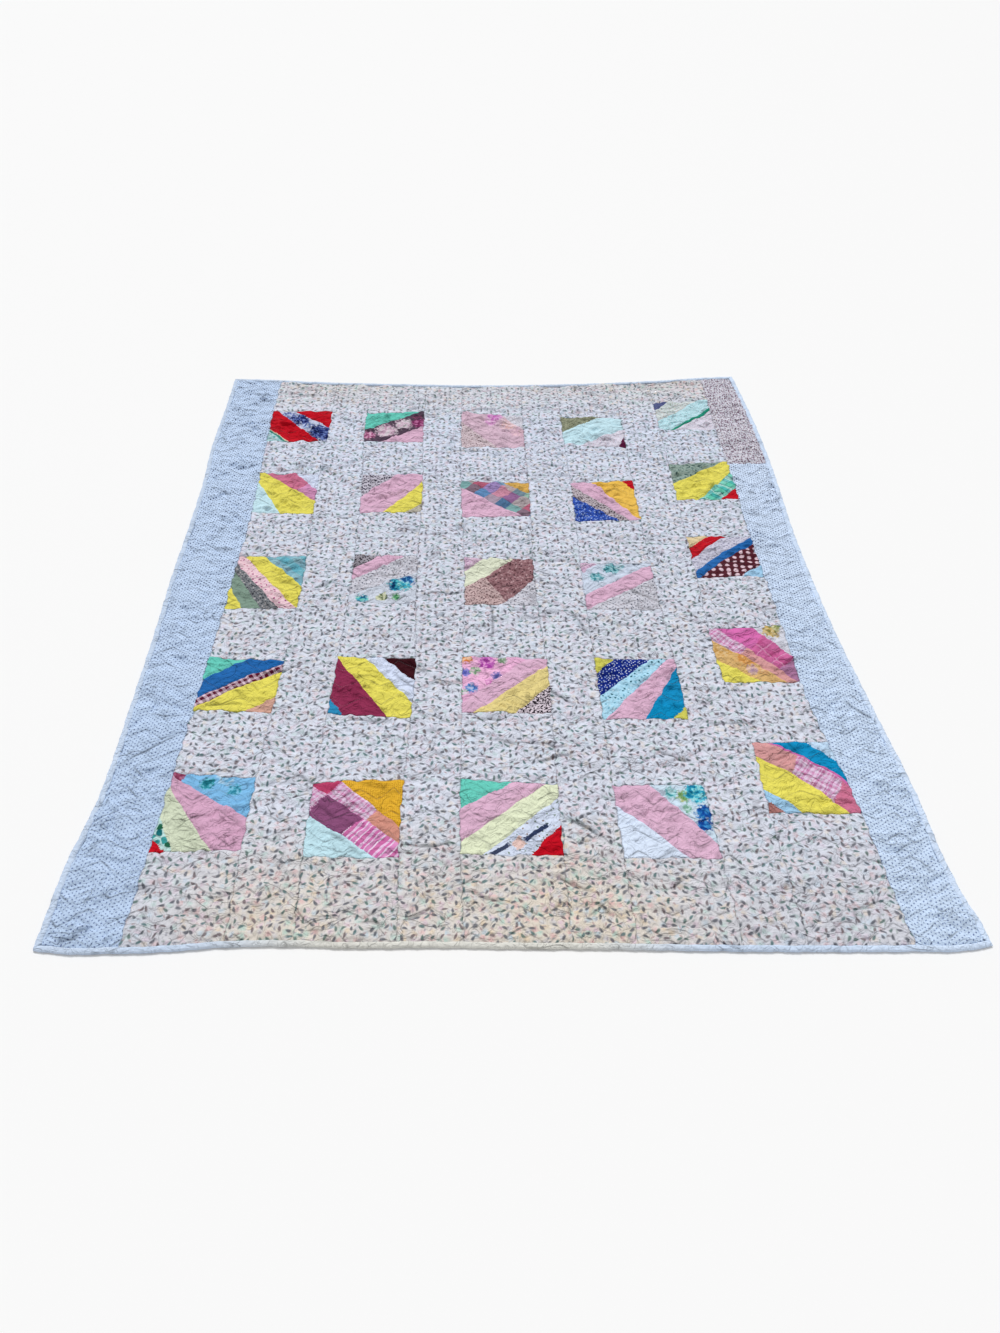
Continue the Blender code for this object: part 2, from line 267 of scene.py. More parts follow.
def face_height(x, y, crumple=1.0):
    """Height of the quilted face: sunk at the thread, gathered beside it, creased and folded between."""
    k, gap = nearest_row(x, y)
    off = np.abs(gap) * SLANT
    # the thread holds the cloth down harder in some places than in others
    hold = np.clip(0.78 + 0.75 * rumple(x / 0.045 + 11, 3.3 * k), 0.30, 1)
    reach = np.clip((0.022 - off) / 0.006, 0, 1)
    lift = 1 - hold * np.exp(-off / RISE) * reach
    puff = lift * (0.90 + 0.24 * rumple(x / 0.055 + 3, y / 0.05) + 0.10 * rumple(x / 0.16, y / 0.12 + 9))
    beyond_row = gap > 0
    gather = np.exp(-off / 0.010) * reach * rumple(x / 0.0105 + 50 * beyond_row, 3.7 * k + 1.9 * beyond_row)
    height = STITCH_LEVEL + PUFF * puff + PUCKER * gather * np.minimum(1, off / 0.0025)
    for turn, apart, run, depth in CREASES:
        c, s = math.cos(math.radians(turn)), math.sin(math.radians(turn))
        a, b = (x * c + y * s) / run + turn, (y * c - x * s) / apart + 2.3 * turn
        line = np.abs(rumple(a * 0.8, b + 0.55 * rumple(a * 1.7 + 40, b * 0.5)))
        here = np.clip(0.30 + 1.5 * rumple(a * 0.55 + 7, b * 0.42 + 13), 0, 1)
        height -= 1.2 * crumple * depth * here * np.clip(1 - line / 0.32, 0, 1) ** 1.2 * (0.25 + 0.75 * lift)
        drag = rumple(a * 1.8 + 30, b * 1.7 + 0.8 * rumple(a * 2.3, b + 50))
        height += 0.78 * crumple * depth * (0.20 + here) * drag * lift
    height += 0.0005 * crumple * lift * rumple(x / 0.014 + 21, y / 0.012 + 5)
    # where it was folded in half on the shelf
    shelf = x - STORED - 0.0025 * rumple(y / 0.09, np.full(y.shape, 7))
    kept = np.clip(0.3 + 1.2 * rumple(y / 0.10 + 3, np.full(y.shape, 2)), 0, 1)
    height -= STORED_DEPTH * kept * np.exp(-((shelf / STORED_REACH) ** 2))
    for fx, fy, length, width, rise, turn in FOLDS:
        c, s = math.cos(math.radians(turn)), math.sin(math.radians(turn))
        along, off = (x - fx) * c + (y - fy) * s, (y - fy) * c - (x - fx) * s
        height += rise * np.exp(-((2 * along / length) ** 4)) * np.exp(-((2 * off / width) ** 2))
    height -= PINCH_DEPTH * pinched(x, y)
    # the deepest creases bottom out softly on the wadding
    over = height - LOWEST
    return LOWEST + np.where(over > SOFT, over, SOFT * np.exp(np.minimum(over, SOFT) / SOFT - 1))


def beyond(line, first, u, v):
    """Whether a point lies past a seam, seen from the corner where the piecing starts."""
    (au, av, bu, bv), (fu, fv) = line, first
    side = (bu - au) * (v - av) - (bv - av) * (u - au)
    return side * ((bu - au) * (fv - av) - (bv - av) * (fu - au)) < 0


def mesh_of(name, bm):
    """A mesh from a finished bmesh, smooth all over, with the first places of its vertices."""
    for f in bm.faces:
        f.smooth = True
    mesh = bpy.data.meshes.new(name)
    bm.to_mesh(mesh)
    bm.free()
    return mesh, *read(mesh.vertices, "co", float, 3).reshape(-1, 3).T


def read(things, what, kind, wide=1):
    """One property of all the vertices, faces or face corners of a mesh."""
    values = np.empty(len(things) * wide, kind)
    things.foreach_get(what, values)
    return values


def lay_map(mesh, name, u, v):
    """A UV map in metres, from its two coordinates at each face corner."""
    flat = np.stack([u, v], 1).ravel().astype(np.float32)
    mesh.uv_layers.new(name=name).uv.foreach_set("vector", flat)


def placed(name, data):
    """An object in the scene."""
    thing = bpy.data.objects.new(name, data)
    bpy.context.scene.collection.objects.link(thing)
    return thing


def quilted(
    name, cloths, back, left, right, near, far,
    seams=(), first=(0, 0), cuts=(), turns=None, bow=(0, 0), crumple=USUAL_CRUMPLE,
):
    """One piece of the quilt, between four lines: its cloth on top, the back cloth underneath.

    left and right give x at a y, near and far give y at a share of the width. The face is cut along
    seams, each from one edge to another, into strips of the cloths given, and cuts are cross seams
    within one strip. turns are the ways the cloths lie, in radians, and crumple is how much they crease.
    """
    stations = np.linspace(near(0.5), far(0.5), 9)
    wide = float(np.mean(right(stations) - left(stations)))
    deep = float(far(0.5) - near(0.5))
    bm = bmesh.new()
    bmesh.ops.create_grid(
        bm,
        x_segments=max(4, round(wide / CELL)),
        y_segments=max(4, round(deep / CELL)),
        size=0.5,
        matrix=Matrix.Translation((0.5, 0.5, 0)),
    )

    def cut(line, faces):
        parts = set(faces)
        parts |= {e for f in faces for e in f.edges} | {v for f in faces for v in f.verts}
        along = Vector((line[2] - line[0], line[3] - line[1], 0))
        bmesh.ops.bisect_plane(
            bm, geom=list(parts), dist=0.004, plane_co=(line[0], line[1], 0), plane_no=(along.y, -along.x, 0)
        )

    for line in seams:
        cut(line, bm.faces[:])

    def strip_of(f):
        u, v, _ = f.calc_center_median()
        return sum(bool(beyond(line, first, u, v)) for line in seams)

    for place, line in cuts:
        cut(line, [f for f in bm.faces if strip_of(f) == place])
    for f in bm.faces:
        u, v, _ = f.calc_center_median()
        strip = strip_of(f)
        f.material_index = strip + sum(
            place < strip or (place == strip and bool(beyond(line, LEFTWARD, u, v))) for place, line in cuts
        )
    rim = [e for e in bm.edges if e.is_boundary]
    walls = bmesh.ops.extrude_edge_only(bm, edges=rim)["geom"]
    low = [g for g in walls if isinstance(g, bmesh.types.BMVert)]
    bmesh.ops.translate(bm, verts=low, vec=(0, 0, -1))
    wall_edges = [g for g in walls if isinstance(g, bmesh.types.BMEdge)]
    floor_rim = [e for e in wall_edges if all(v.co.z < -0.5 for v in e.verts)]
    for f in bmesh.ops.edgeloop_fill(bm, edges=floor_rim)["faces"]:
        f.material_index = len(cloths)
    bmesh.ops.recalc_face_normals(bm, faces=bm.faces[:])
    mesh, u, v, level = mesh_of(name, bm)
    under = level < -0.5
    # Distance to the nearest seam, round the piece and in it
    size = np.array([wide, deep])
    gap = np.minimum(np.minimum(u, 1 - u) * wide, np.minimum(v, 1 - v) * deep)
    dip = RIM_DIP * np.exp(-((gap / RIM_REACH) ** 2))
    free = gap > 0.5 * CELL
    ridge, inner = np.zeros(len(u)), np.full(len(u), NO_SEAM)
    for au, av, bu, bv in [*seams, *(line for _, line in cuts)]:
        run = np.array([bu - au, bv - av]) * size
        share = np.clip(((u - au) * wide * run[0] + (v - av) * deep * run[1]) / (run @ run), 0, 1)
        off = np.hypot((u - au) * wide - share * run[0], (v - av) * deep - share * run[1])
        dip = np.maximum(dip, PIECING_DIP * np.exp(-((off / PIECING_REACH) ** 2)))
        gathers = rumple(share * math.sqrt(run @ run) / 0.0085 + 9 * au, np.full(len(u), 30.0 * av))
        ridge = np.maximum(ridge, (0.0010 + 0.0012 * gathers) * np.exp(-(((off - ALLOWANCE) / 0.0042) ** 2)))
        inner = np.minimum(inner, off)
        free &= off > 0.6 * CELL
    inside = np.sin(math.pi * np.clip(u, 0, 1)) * np.sin(math.pi * np.clip(v, 0, 1))
    shake = np.clip(4 * inside, 0, 1) if seams else 0
    u2 = u + bow[0] * inside + shake * 0.007 * rumple(u * 6 + left(0.0) * 90, v * 6 + 31)
    v2 = v + bow[1] * inside + shake * 0.007 * rumple(u * 6 + 17, v * 6 + left(0.0) * 70)
    y = near(u2) + (far(u2) - near(u2)) * v2
    x = left(y) + (right(y) - left(y)) * u2
    # Every column of the mesh has a point right on each row of stitches
    above = nearest_row(x, y)[1]
    y = np.where(free & ~under & (np.abs(above) < 0.5 * CELL), y - above, y)
    # the scraps crumple more than the plain cloth round them, and the far end more than the near
    more = (crumple - USUAL_CRUMPLE) * (1 if seams else 1 + 0.9 * np.clip(y, 0, 1))
    lively = USUAL_CRUMPLE + 0.25 * np.clip(y + 0.4, 0, 1.2) + more * (1 - np.exp(-((gap / 0.012) ** 2)))
    high = face_height(x, y, lively) + ridge
    # along the edges it sinks where the binding is sewn down, deepest at the near one
    near_side = y - across(0, x) - NEAR_EDGE_SEAM
    others = np.minimum(np.minimum(x - down(0, y), down(11, y) - x), across(1, x) - y) - EDGE_SEAM
    for off, deepest in ((near_side, NEAR_EDGE_DIP), (others, EDGE_DIP)):
        dip = np.maximum(dip, deepest * np.exp(-((np.maximum(off, 0) / EDGE_REACH) ** 2)))
    z = np.where(under, FLOOR_GAP, high - dip * (high - SEWN_LEVEL))
    mesh.vertices.foreach_set("co", np.stack([x, y, z], 1).ravel())

    # The cloth's own coordinates in metres, turned for each strip, with another part of the print in each
    loops, faces = read(mesh.loops, "vertex_index", int), mesh.polygons
    counts = read(faces, "loop_total", int)
    strip = np.repeat(read(faces, "material_index", int), counts)
    draw = np.random.default_rng(number_of(name))
    turn = np.append(turns if turns is not None else np.zeros(len(cloths)), 0)[strip]
    shift = draw.uniform(0, 3, (len(cloths) + 1, 2))[strip]
    # the gathers take up the cloth unevenly, so its print wanders a little
    px = x + 0.0016 * rumple(x / 0.024 + 60, y / 0.020) + 0.0012 * rumple(x / 0.011, y / 0.010 + 80)
    py = y + 0.0016 * rumple(x / 0.022, y / 0.023 + 90) + 0.0012 * rumple(x / 0.010 + 15, y / 0.011)
    cx = px[loops] * np.cos(turn) + py[loops] * np.sin(turn) + shift[:, 0]
    cy = py[loops] * np.cos(turn) - px[loops] * np.sin(turn) + shift[:, 1]
    lay_map(mesh, "cloth", cx, cy)
    # How far each place is from the nearest seam in the patchwork, and from the seam round the piece
    lay_map(mesh, "seams", *np.where(under, NO_SEAM, np.stack([inner, np.clip(gap, 0, NO_SEAM)]))[:, loops])
    # how tight the sharp pinches are, which the cloth's material darkens as painted shade
    shut = np.where(under, 0, pinched(x, y)).astype(np.float32)
    mesh.attributes.new("pinch", "FLOAT", "POINT").data.foreach_set("value", shut)
    # How far along its row of quilting each place is, and how far to the side, one row for each face
    starts = read(faces, "loop_start", int)
    middle = np.add.reduceat(np.stack([x[loops], y[loops]], 1), starts) / counts[:, None]
    row = np.repeat(nearest_row(*middle.T)[0], counts)
    along, aside = np.zeros(len(loops)), np.zeros(len(loops))
    for k in np.unique(row):
        mine, (tx, ty) = row == k, ROWS[k]
        legs = np.hypot(np.diff(tx), np.diff(ty))
        slant = (np.diff(tx) / legs)[np.clip(np.searchsorted(tx, x[loops][mine]) - 1, 0, len(legs) - 1)]
        along[mine] = np.interp(x[loops][mine], tx, np.append(0, np.cumsum(legs))) + 3.1 * k
        aside[mine] = (y[loops][mine] - np.interp(x[loops][mine], tx, ty)) * slant
    lay_map(mesh, "rows", along, aside)
    for material in [*cloths, back]:
        mesh.materials.append(material)
    mesh.update()
    piece = placed(name, mesh)
    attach(piece, "root")
    return piece


def number_of(name):
    """A number that is always the same for a name."""
    return sum((i + 1) * 131 * ord(c) for i, c in enumerate(name))


def dye(r, g, b):
    """A cloth's colour, from 0 to 255 as on a shade card, as the shader wants it."""
    shares = (c / 255 / 12.92 if c <= 10 else ((c / 255 + 0.055) / 1.055) ** 2.4 for c in (r, g, b))
    return *shares, 1


def feed(socket, value):
    """Link a socket to the one that feeds it, or give it a plain value. A colour is given as a dye."""
    if isinstance(value, bpy.types.NodeSocket):
        socket.id_data.links.new(value, socket)
    else:
        socket.default_value = dye(*value) if socket.type == "RGBA" else value


def add(tree, kind, links=None, **settings):
    """A node with its settings, and what feeds each of its inputs."""
    n = tree.nodes.new("ShaderNode" + kind)
    for key, value in settings.items():
        setattr(n, key, value)
    for key, value in (links or {}).items():
        feed(n.inputs[key], value)
    return n


def tree_of(*values):
    """The node tree that the first socket among these values is in."""
    return next(v for v in values if isinstance(v, bpy.types.NodeSocket)).id_data


def calc(operation, *terms, clamp=False):
    """A Math node's answer."""
    links = dict(enumerate(terms))
    return add(tree_of(*terms), "Math", links, operation=operation, use_clamp=clamp).outputs[0]


# scaled(a, b, c) is a times b, plus c
times, plus, minus, divided, scaled = (
    partial(calc, kind) for kind in ("MULTIPLY", "ADD", "SUBTRACT", "DIVIDE", "MULTIPLY_ADD")
)


def vector_calc(operation, vector, other=(0, 0, 0)):
    """A Vector Math node's answer."""
    n = add(vector.id_data, "VectorMath", {0: vector, 1: other}, operation=operation)
    return n.outputs["Value" if operation == "LENGTH" else "Vector"]


def axes(vector):
    """The X, Y and Z of a vector."""
    return add(vector.id_data, "SeparateXYZ", {"Vector": vector}).outputs


def stretched(vector, scale, turn=0.0):
    """Coordinates turned, and scaled along each axis."""
    links = {"Vector": vector, "Scale": scale, "Rotation": (0, 0, turn)}
    return add(vector.id_data, "Mapping", links).outputs[0]


def turned(vector, angle):
    """Coordinates turned about the upright axis."""
    links = {"Vector": vector, "Angle": angle}
    return add(vector.id_data, "VectorRotate", links, rotation_type="Z_AXIS").outputs[0]


def noise(vector, scale, detail, distortion=0.0):
    """A Noise Texture's light and dark."""
    links = {"Vector": vector, "Scale": scale, "Detail": detail, "Distortion": distortion}
    return add(vector.id_data, "TexNoise", links).outputs["Fac"]


def between(value, start, end, low=0.0, high=1.0, **settings):
    """low where a value is at its start, high where it is at its end, and held at them beyond."""
    links = {"Value": value, "From Min": start, "From Max": end, "To Min": low, "To Max": high}
    return add(value.id_data, "MapRange", links, **settings).outputs[0]


def mixed(share, a, b):
    """Two colours mixed."""
    n = add(tree_of(share, a, b), "Mix", {"Factor": share}, data_type="RGBA")
    feed(n.inputs[6], a)
    feed(n.inputs[7], b)
    return n.outputs[2]


def shaded(colour, tone):
    """A colour made darker or lighter."""
    return add(colour.id_data, "VectorMath", {0: colour, "Scale": tone}, operation="SCALE").outputs[0]


def ramp(share, stops, interpolation="LINEAR"):
    """A Color Ramp with the stops given."""
    n = add(share.id_data, "ValToRGB", {"Fac": share})
    n.color_ramp.interpolation = interpolation
    while len(n.color_ramp.elements) < len(stops):
        n.color_ramp.elements.new(0.5)
    for element, (at, colour) in zip(n.color_ramp.elements, stops):
        element.position = at
        element.color = dye(*colour)
    return n.outputs["Color"]


def picked(number, dyes):
    """One of a few dyes for each motif, by its number."""
    return ramp(number, [(i / len(dyes), c) for i, c in enumerate(dyes)], "CONSTANT")


def group(name, inputs, outputs):
    """An empty node group. An input has its usual value, or None for coordinates. All outputs are values."""
    tree = bpy.data.node_groups.new(name, "ShaderNodeTree")
    for label, usual in inputs.items():
        kind = "NodeSocketVector" if usual is None else "NodeSocketFloat"
        socket = tree.interface.new_socket(label, in_out="INPUT", socket_type=kind)
        if usual is not None:
            socket.default_value = usual
    for label in outputs:
        tree.interface.new_socket(label, in_out="OUTPUT", socket_type="NodeSocketFloat")
    return tree, tree.nodes.new("NodeGroupInput").outputs, tree.nodes.new("NodeGroupOutput").inputs


def plain_weave():
    """Threads of plain cotton: a little light and dark from thread to thread, and their height."""
    tree, given, out = group("plain weave", {"Cloth": None, "Thread": 0.0007}, ("Tone", "Height"))
    turn = divided(math.pi, given["Thread"])
    xyz = axes(given["Cloth"])
    crossing = times(calc("SINE", times(xyz["X"], turn)), calc("SINE", times(xyz["Y"], turn)))
    slub = plus(*(noise(stretched(given["Cloth"], way), 1.0, 1.0) for way in ((30, 1500, 0), (1500, 30, 0))))
    feed(out["Tone"], scaled(crossing, 0.025, scaled(slub, 0.22, 0.78)))
    feed(out["Height"], scaled(crossing, 0.5, slub))
    return tree


def washing():
    """What years of washing do: broad fading, small mottling, and creases pressed into the cloth."""
    tree, given, out = group("washing", {"Place": None}, ("Fade", "Mottle", "Creases", "Line"))
    place = given["Place"]
    feed(out["Fade"], noise(place, 3.1, 3.0))
    feed(out["Mottle"], noise(place, 62.0, 4.0))
    ridge = calc("ABSOLUTE", minus(noise(place, 47.0, 1.6, 1.4), 0.5))
    feed(out["Creases"], scaled(noise(place, 130.0, 2.0), 0.5, times(ridge, 8.0, clamp=True)))
    # a few longer creases, sharp as a pencil line, in some places only, along which the cloth gets painted
    # shade
    bent = noise(stretched(place, (15.0, 27.0, 20.0), 0.12), 1.0, 1.5, 0.9)
    line = minus(1.0, times(calc("ABSOLUTE", minus(bent, 0.5)), 30.0), clamp=True)
    feed(out["Line"], times(line, between(noise(place, 17.0, 1.0), 0.47, 0.60)))
    return tree


STITCH_LENGTH = 0.0050          # from one running stitch to the next
STITCH_DITCH = 0.0026           # how far the ditch of a row reaches to each side
STITCH_PUCKERS = 0.011          # and the puckers beside it
HALFWAY = 0.026                 # and the folds: about half of the way to the next row


def quilting_marks():
    """The thread of each row, the ditch it draws in the cloth, which also places painted shade, and the
    puckers and folds beside it.
    """
    tree, given, out = group("quilting marks", {"Rows": None}, ("Ditch", "Height", "Folds", "Thread"))
    rows = given["Rows"]
    xyz = axes(rows)
    off = calc("ABSOLUTE", xyz["Y"])
    tight = between(noise(rows, 19.0, 1.5), 0.40, 0.58, 0.10)
    ditch = times(minus(1.0, divided(off, STITCH_DITCH), clamp=True), tight)
    pucker = noise(stretched(rows, (210.0, 40.0, 1.0)), 1.0, 1.0)
    fade = minus(1.0, divided(off, STITCH_PUCKERS), clamp=True)
    feed(out["Ditch"], ditch)
    feed(out["Height"], minus(times(times(pucker, fade), 1.6), ditch))
    # sharp little folds that follow the zigzag
    wave = noise(stretched(rows, (19.0, 52.0, 1.0)), 1.0, 0.7, 0.3)
    fold = minus(1.0, times(calc("ABSOLUTE", minus(wave, 0.48)), 7.0), clamp=True)
    feed(out["Folds"], times(fold, times(minus(HALFWAY, off), 110.0, clamp=True)))
    # running stitches: three fifths of the thread lies on top
    dash = calc("FRACT", divided(xyz["X"], STITCH_LENGTH))
    shown = times(minus(0.30, calc("ABSOLUTE", minus(dash, 0.5))), 20.0, clamp=True)
    feed(out["Thread"], times(shown, divided(minus(0.00040, off), 0.00016, clamp=True)))
    return tree


def seam_marks():
    """Beside a seam: the ditch of the seam itself, where the cloth gets painted shade, and the step where its
    turned edges end below.
    """
    tree, given, out = group("seam marks", {"Seams": None, "Place": None}, ("Ditch", "Height"))
    xyz = axes(given["Seams"])
    off = calc("MINIMUM", xyz["X"], xyz["Y"])
    uneven = noise(given["Place"], 55.0, 1.0)
    ditch = minus(1.0, divided(off, 0.0024), clamp=True)
    feed(out["Ditch"], times(ditch, times(uneven, 1.6)))
    step = divided(minus(xyz["X"], 0.0062), 0.0016, clamp=True)
    feed(out["Height"], minus(divided(off, 0.0030, clamp=True), times(step, minus(uneven, 0.25))))
    return tree


def motif_cells(cloth, spacing):
    """The cloth in uneven cells, each turned its own way: the place in its cell, and its three numbers."""
    links = {"Vector": cloth, "Scale": divided(1.0, spacing), "Randomness": 0.66}
    cells = add(cloth.id_data, "TexVoronoi", links, voronoi_dimensions="2D").outputs
    numbers = add(cloth.id_data, "SeparateColor", {"Color": cells["Color"]}).outputs
    local = vector_calc("SUBTRACT", cloth, cells["Position"])
    return turned(local, times(numbers["Red"], 6.2832)), numbers


def sprinkle():
    """Small motifs scattered over a cloth, each turned its own way: their shape, and a number for each."""
    usual = {"Cloth": None, "Spacing": 0.02, "Length": 0.007, "Width": 0.003, "Bleed": 0.13}
    tree, given, out = group("sprinkle", usual, ("Shape", "Kind"))
    local, numbers = motif_cells(given["Cloth"], given["Spacing"])
    xyz = axes(local)
    a = divided(xyz["X"], times(given["Length"], 0.5))
    # leaf-shaped: a little bent, and fuller at one end
    b = minus(divided(xyz["Y"], times(given["Width"], 0.5)), times(times(a, a), 0.22))
    b = divided(b, scaled(a, 0.22, 1.0))
    far = calc("SQRT", plus(times(a, a), calc("POWER", b, 2.0)))
    feed(out["Shape"], between(far, plus(1.0, given["Bleed"]), minus(1.0, given["Bleed"])))
    feed(out["Kind"], numbers["Green"])
    return tree


def buds():
    """A soft blotch beside each sprig, a bud or a bit of leaf: where it is, and a number for each."""
    tree, given, out = group("buds", {"Cloth": None, "Spacing": 0.0155, "Size": 0.0092}, ("Shape", "Kind"))
    local, numbers = motif_cells(given["Cloth"], given["Spacing"])
    far = vector_calc("LENGTH", vector_calc("SUBTRACT", local, (0.0024, 0.0044, 0.0)))
    far = times(divided(far, given["Size"]), scaled(noise(given["Cloth"], 420.0, 1.0), 1.4, 0.3))
    feed(out["Shape"], times(minus(1.0, far), 1.2, clamp=True))
    feed(out["Kind"], numbers["Blue"])
    return tree


WEAVE, WASHING, MARKS, SEAM_MARKS = plain_weave(), washing(), quilting_marks(), seam_marks()
SPRINKLE, BUDS = sprinkle(), buds()


def printed_look(name, ground_of, folded=0.4):
    """A washed cotton, coloured by ground_of(cloth, place). Its weave, washing and quilting are as on all."""
    material = bpy.data.materials.new(name)
    material.use_nodes = True
    tree = material.node_tree
    shader = tree.nodes["Principled BSDF"].inputs
    layers = ("cloth", "rows", "seams")
    cloth, rows, seams = (add(tree, "UVMap", uv_map=layer).outputs["UV"] for layer in layers)
    place = add(tree, "TexCoord").outputs["Object"]
    pinch = add(tree, "Attribute", attribute_name="pinch").outputs["Fac"]
    weave = add(tree, "Group", {"Cloth": cloth}, node_tree=WEAVE).outputs
    wash = add(tree, "Group", {"Place": place}, node_tree=WASHING).outputs
    marks = add(tree, "Group", {"Rows": rows}, node_tree=MARKS).outputs
    seam = add(tree, "Group", {"Seams": seams, "Place": place}, node_tree=SEAM_MARKS).outputs
    # worn lighter in patches, with the thread of the quilting on top
    fade_and_painted_light = mixed(between(wash["Fade"], 0.42, 0.70, 0.0, 0.015), ground_of(cloth, place), (222, 220, 222))
    fade_and_painted_light = mixed(times(marks["Thread"], 0.30), fade_and_painted_light, (208, 210, 218))
    # mottled, and with painted shade in pressed creases, in sharp pinches, and down in the ditch of stitches
    # and seams
    tone = times(weave["Tone"], scaled(wash["Mottle"], 0.26, 0.87))
    for mark, darker in (
        (wash["Line"], -0.30), (pinch, -0.72), (marks["Ditch"], -0.46), (seam["Ditch"], -0.05)
    ):
        tone = times(tone, scaled(mark, darker, 1.0))
    relief = wash["Creases"]
    for mark, height in (
        (wash["Line"], -1.2), (marks["Height"], 1.1), (marks["Folds"], folded), (seam["Height"], 0.3)
    ):
        relief = scaled(mark, height, relief)
    feed(shader["Base Color"], shaded(fade_and_painted_light, tone))
    feed(shader["Roughness"], scaled(wash["Mottle"], 0.12, 0.82))
    creases = add(tree, "Bump", {"Height": relief, "Strength": 0.75, "Distance": 0.0019}).outputs[0]
    links = {"Height": weave["Height"], "Strength": 0.35, "Distance": 0.00018, "Normal": creases}
    feed(shader["Normal"], add(tree, "Bump", links).outputs[0])
    shader["Sheen Weight"].default_value = 0.01
    shader["Sheen Roughness"].default_value = 0.6
    shader["Specular IOR Level"].default_value = 0.04
    return material


def scattered(cloth, ground, motifs, spacing, length, width, offset=0.0, strength=1.0, bleed=0.13):
    """Motifs of one size, strewn over a ground in the colours given."""
    start = vector_calc("ADD", cloth, (offset, offset * 1.7, 0))
    links = {"Cloth": start, "Spacing": spacing, "Length": length, "Width": width, "Bleed": bleed}
    motif = add(cloth.id_data, "Group", links, node_tree=SPRINKLE).outputs
    return mixed(times(motif["Shape"], strength), ground, picked(motif["Kind"], motifs))


def yellowed(place, wide):
    """Where the near end has yellowed, and how strongly, most of all just left of the middle."""
    xyz = axes(place)
    aside = calc("ABSOLUTE", plus(xyz["X"], 0.12))
    return between(xyz["Y"], -0.72, -0.95), between(aside, wide, 0.20, interpolation_type="SMOOTHSTEP")


def sprig_ground(cloth, place):
    """Cream, cooler in the quilt's middle and stained warmer at its ends, with dark sprigs and pale buds."""
    y = axes(place)["Y"]
    near, middle = yellowed(place, 0.62)
    back = between(y, -0.2, 0.8)
    cool = mixed(near, mixed(back, (217, 222, 236), (219, 227, 246)), (207, 211, 224))
    ends = plus(times(near, scaled(middle, 0.95, 0.15)), between(y, 0.72, 0.95, 0.0, 0.5))
    stain = times(ends, scaled(noise(place, 2.3, 2.0), 2.0, -0.1), clamp=True)
    ground = mixed(stain, cool, (222, 212, 198))
    bud = add(cloth.id_data, "Group", {"Cloth": cloth}, node_tree=BUDS).outputs
    tints = (
        (226, 176, 178), (206, 206, 214), (172, 212, 202), (228, 204, 172), (206, 206, 214), (214, 186, 206),
        (180, 206, 224),
    )
    soft = mixed(times(bud["Shape"], scaled(stain, 0.32, 0.35)), ground, picked(bud["Kind"], tints))
    small = scattered(
        cloth, soft, [(156, 156, 168), (158, 170, 168), (182, 152, 154), (160, 150, 160)],
        0.0158, 0.0070, 0.0033, 0.4, 0.7, 0.4,
    )
    inks = [(90, 94, 104), (84, 112, 106), (112, 98, 102), (98, 102, 112), (76, 114, 116), (82, 86, 96)]
    strength = scaled(back, -0.10, 0.86)
    return scattered(cloth, small, inks, 0.0176, 0.0108, 0.0052, strength=strength, bleed=0.34)


sprig_cloth = printed_look("sprig_cloth", sprig_ground)
back_cloth = printed_look("back_cloth", lambda cloth, place: (206, 214, 226))


def near_edge(k0, k1):
    """The near end of a piece between two of the lines down the quilt, at a share of its width."""
    a, b = float(down(k0, np.array(-1.0))), float(down(k1, np.array(-1.0)))
    return lambda share: across(0, a + (b - a) * share) + TUCK


def far_edge(k0, k1):
    """The far end, likewise."""
    a, b = float(down(k0, np.array(0.98))), float(down(k1, np.array(0.98)))
    return lambda share: across(1, a + (b - a) * share) - TUCK


for number, k in enumerate((2, 4, 6, 8), start=1):
    sash = quilted(
        f"sash_{number}_cloth", [sprig_cloth], back_cloth,
        partial(down, k), partial(down, k + 1), near_edge(k, k + 1), far_edge(k, k + 1),
    )
    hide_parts(f"sash_{number}")

# ---------------------------------------------------------------------------
# Side borders. A wide strip of pale blue cloth with a navy pin dot down each
# side. The far quarter of the right one is made up with another cloth, a rosy
# brown print, where the dotted cloth ran out.
# ---------------------------------------------------------------------------

DOT_PITCH, DOT_ROW, DOT_RADIUS = 0.0127, 0.00434, 0.00175
PATCH_SEAM = 0.510      # y of the seam where the brown print starts


def pin_dots():
    """Dots in rows, every other row moved over by half: where they are."""
    usual = {"Cloth": None, "Pitch": DOT_PITCH, "Row": DOT_ROW, "Radius": DOT_RADIUS}
    tree, given, out = group("pin dots", usual, ["Dots"])
    # printed a little out of true, and pulled about since
    pulled = add(tree, "TexNoise", {"Vector": given["Cloth"], "Scale": 105.0, "Detail": 1.0}).outputs["Color"]
    xyz = axes(vector_calc("ADD", given["Cloth"], vector_calc("MULTIPLY", pulled, (0.0034, 0.0034, 0))))
    v = divided(xyz["Y"], given["Row"])
    row = calc("FLOOR", v)
    u = plus(divided(xyz["X"], given["Pitch"]), times(calc("MODULO", row, 2.0), 0.5))
    du = times(minus(calc("FRACT", u), 0.5), given["Pitch"])
    dv = times(minus(minus(v, row), 0.5), given["Row"])
    far = calc("SQRT", plus(times(du, du), times(dv, dv)))
    ink = divided(minus(given["Radius"], far), given["Radius"])
    feed(out["Dots"], times(ink, 3.0, clamp=True))
    return tree


PIN_DOTS = pin_dots()


def dotted(cloth, ground, dot, pitch, row, radius):
    """A ground with rows of dots."""
    links = {"Cloth": cloth, "Pitch": pitch, "Row": row, "Radius": radius}
    return mixed(add(cloth.id_data, "Group", links, node_tree=PIN_DOTS).outputs["Dots"], ground, dot)


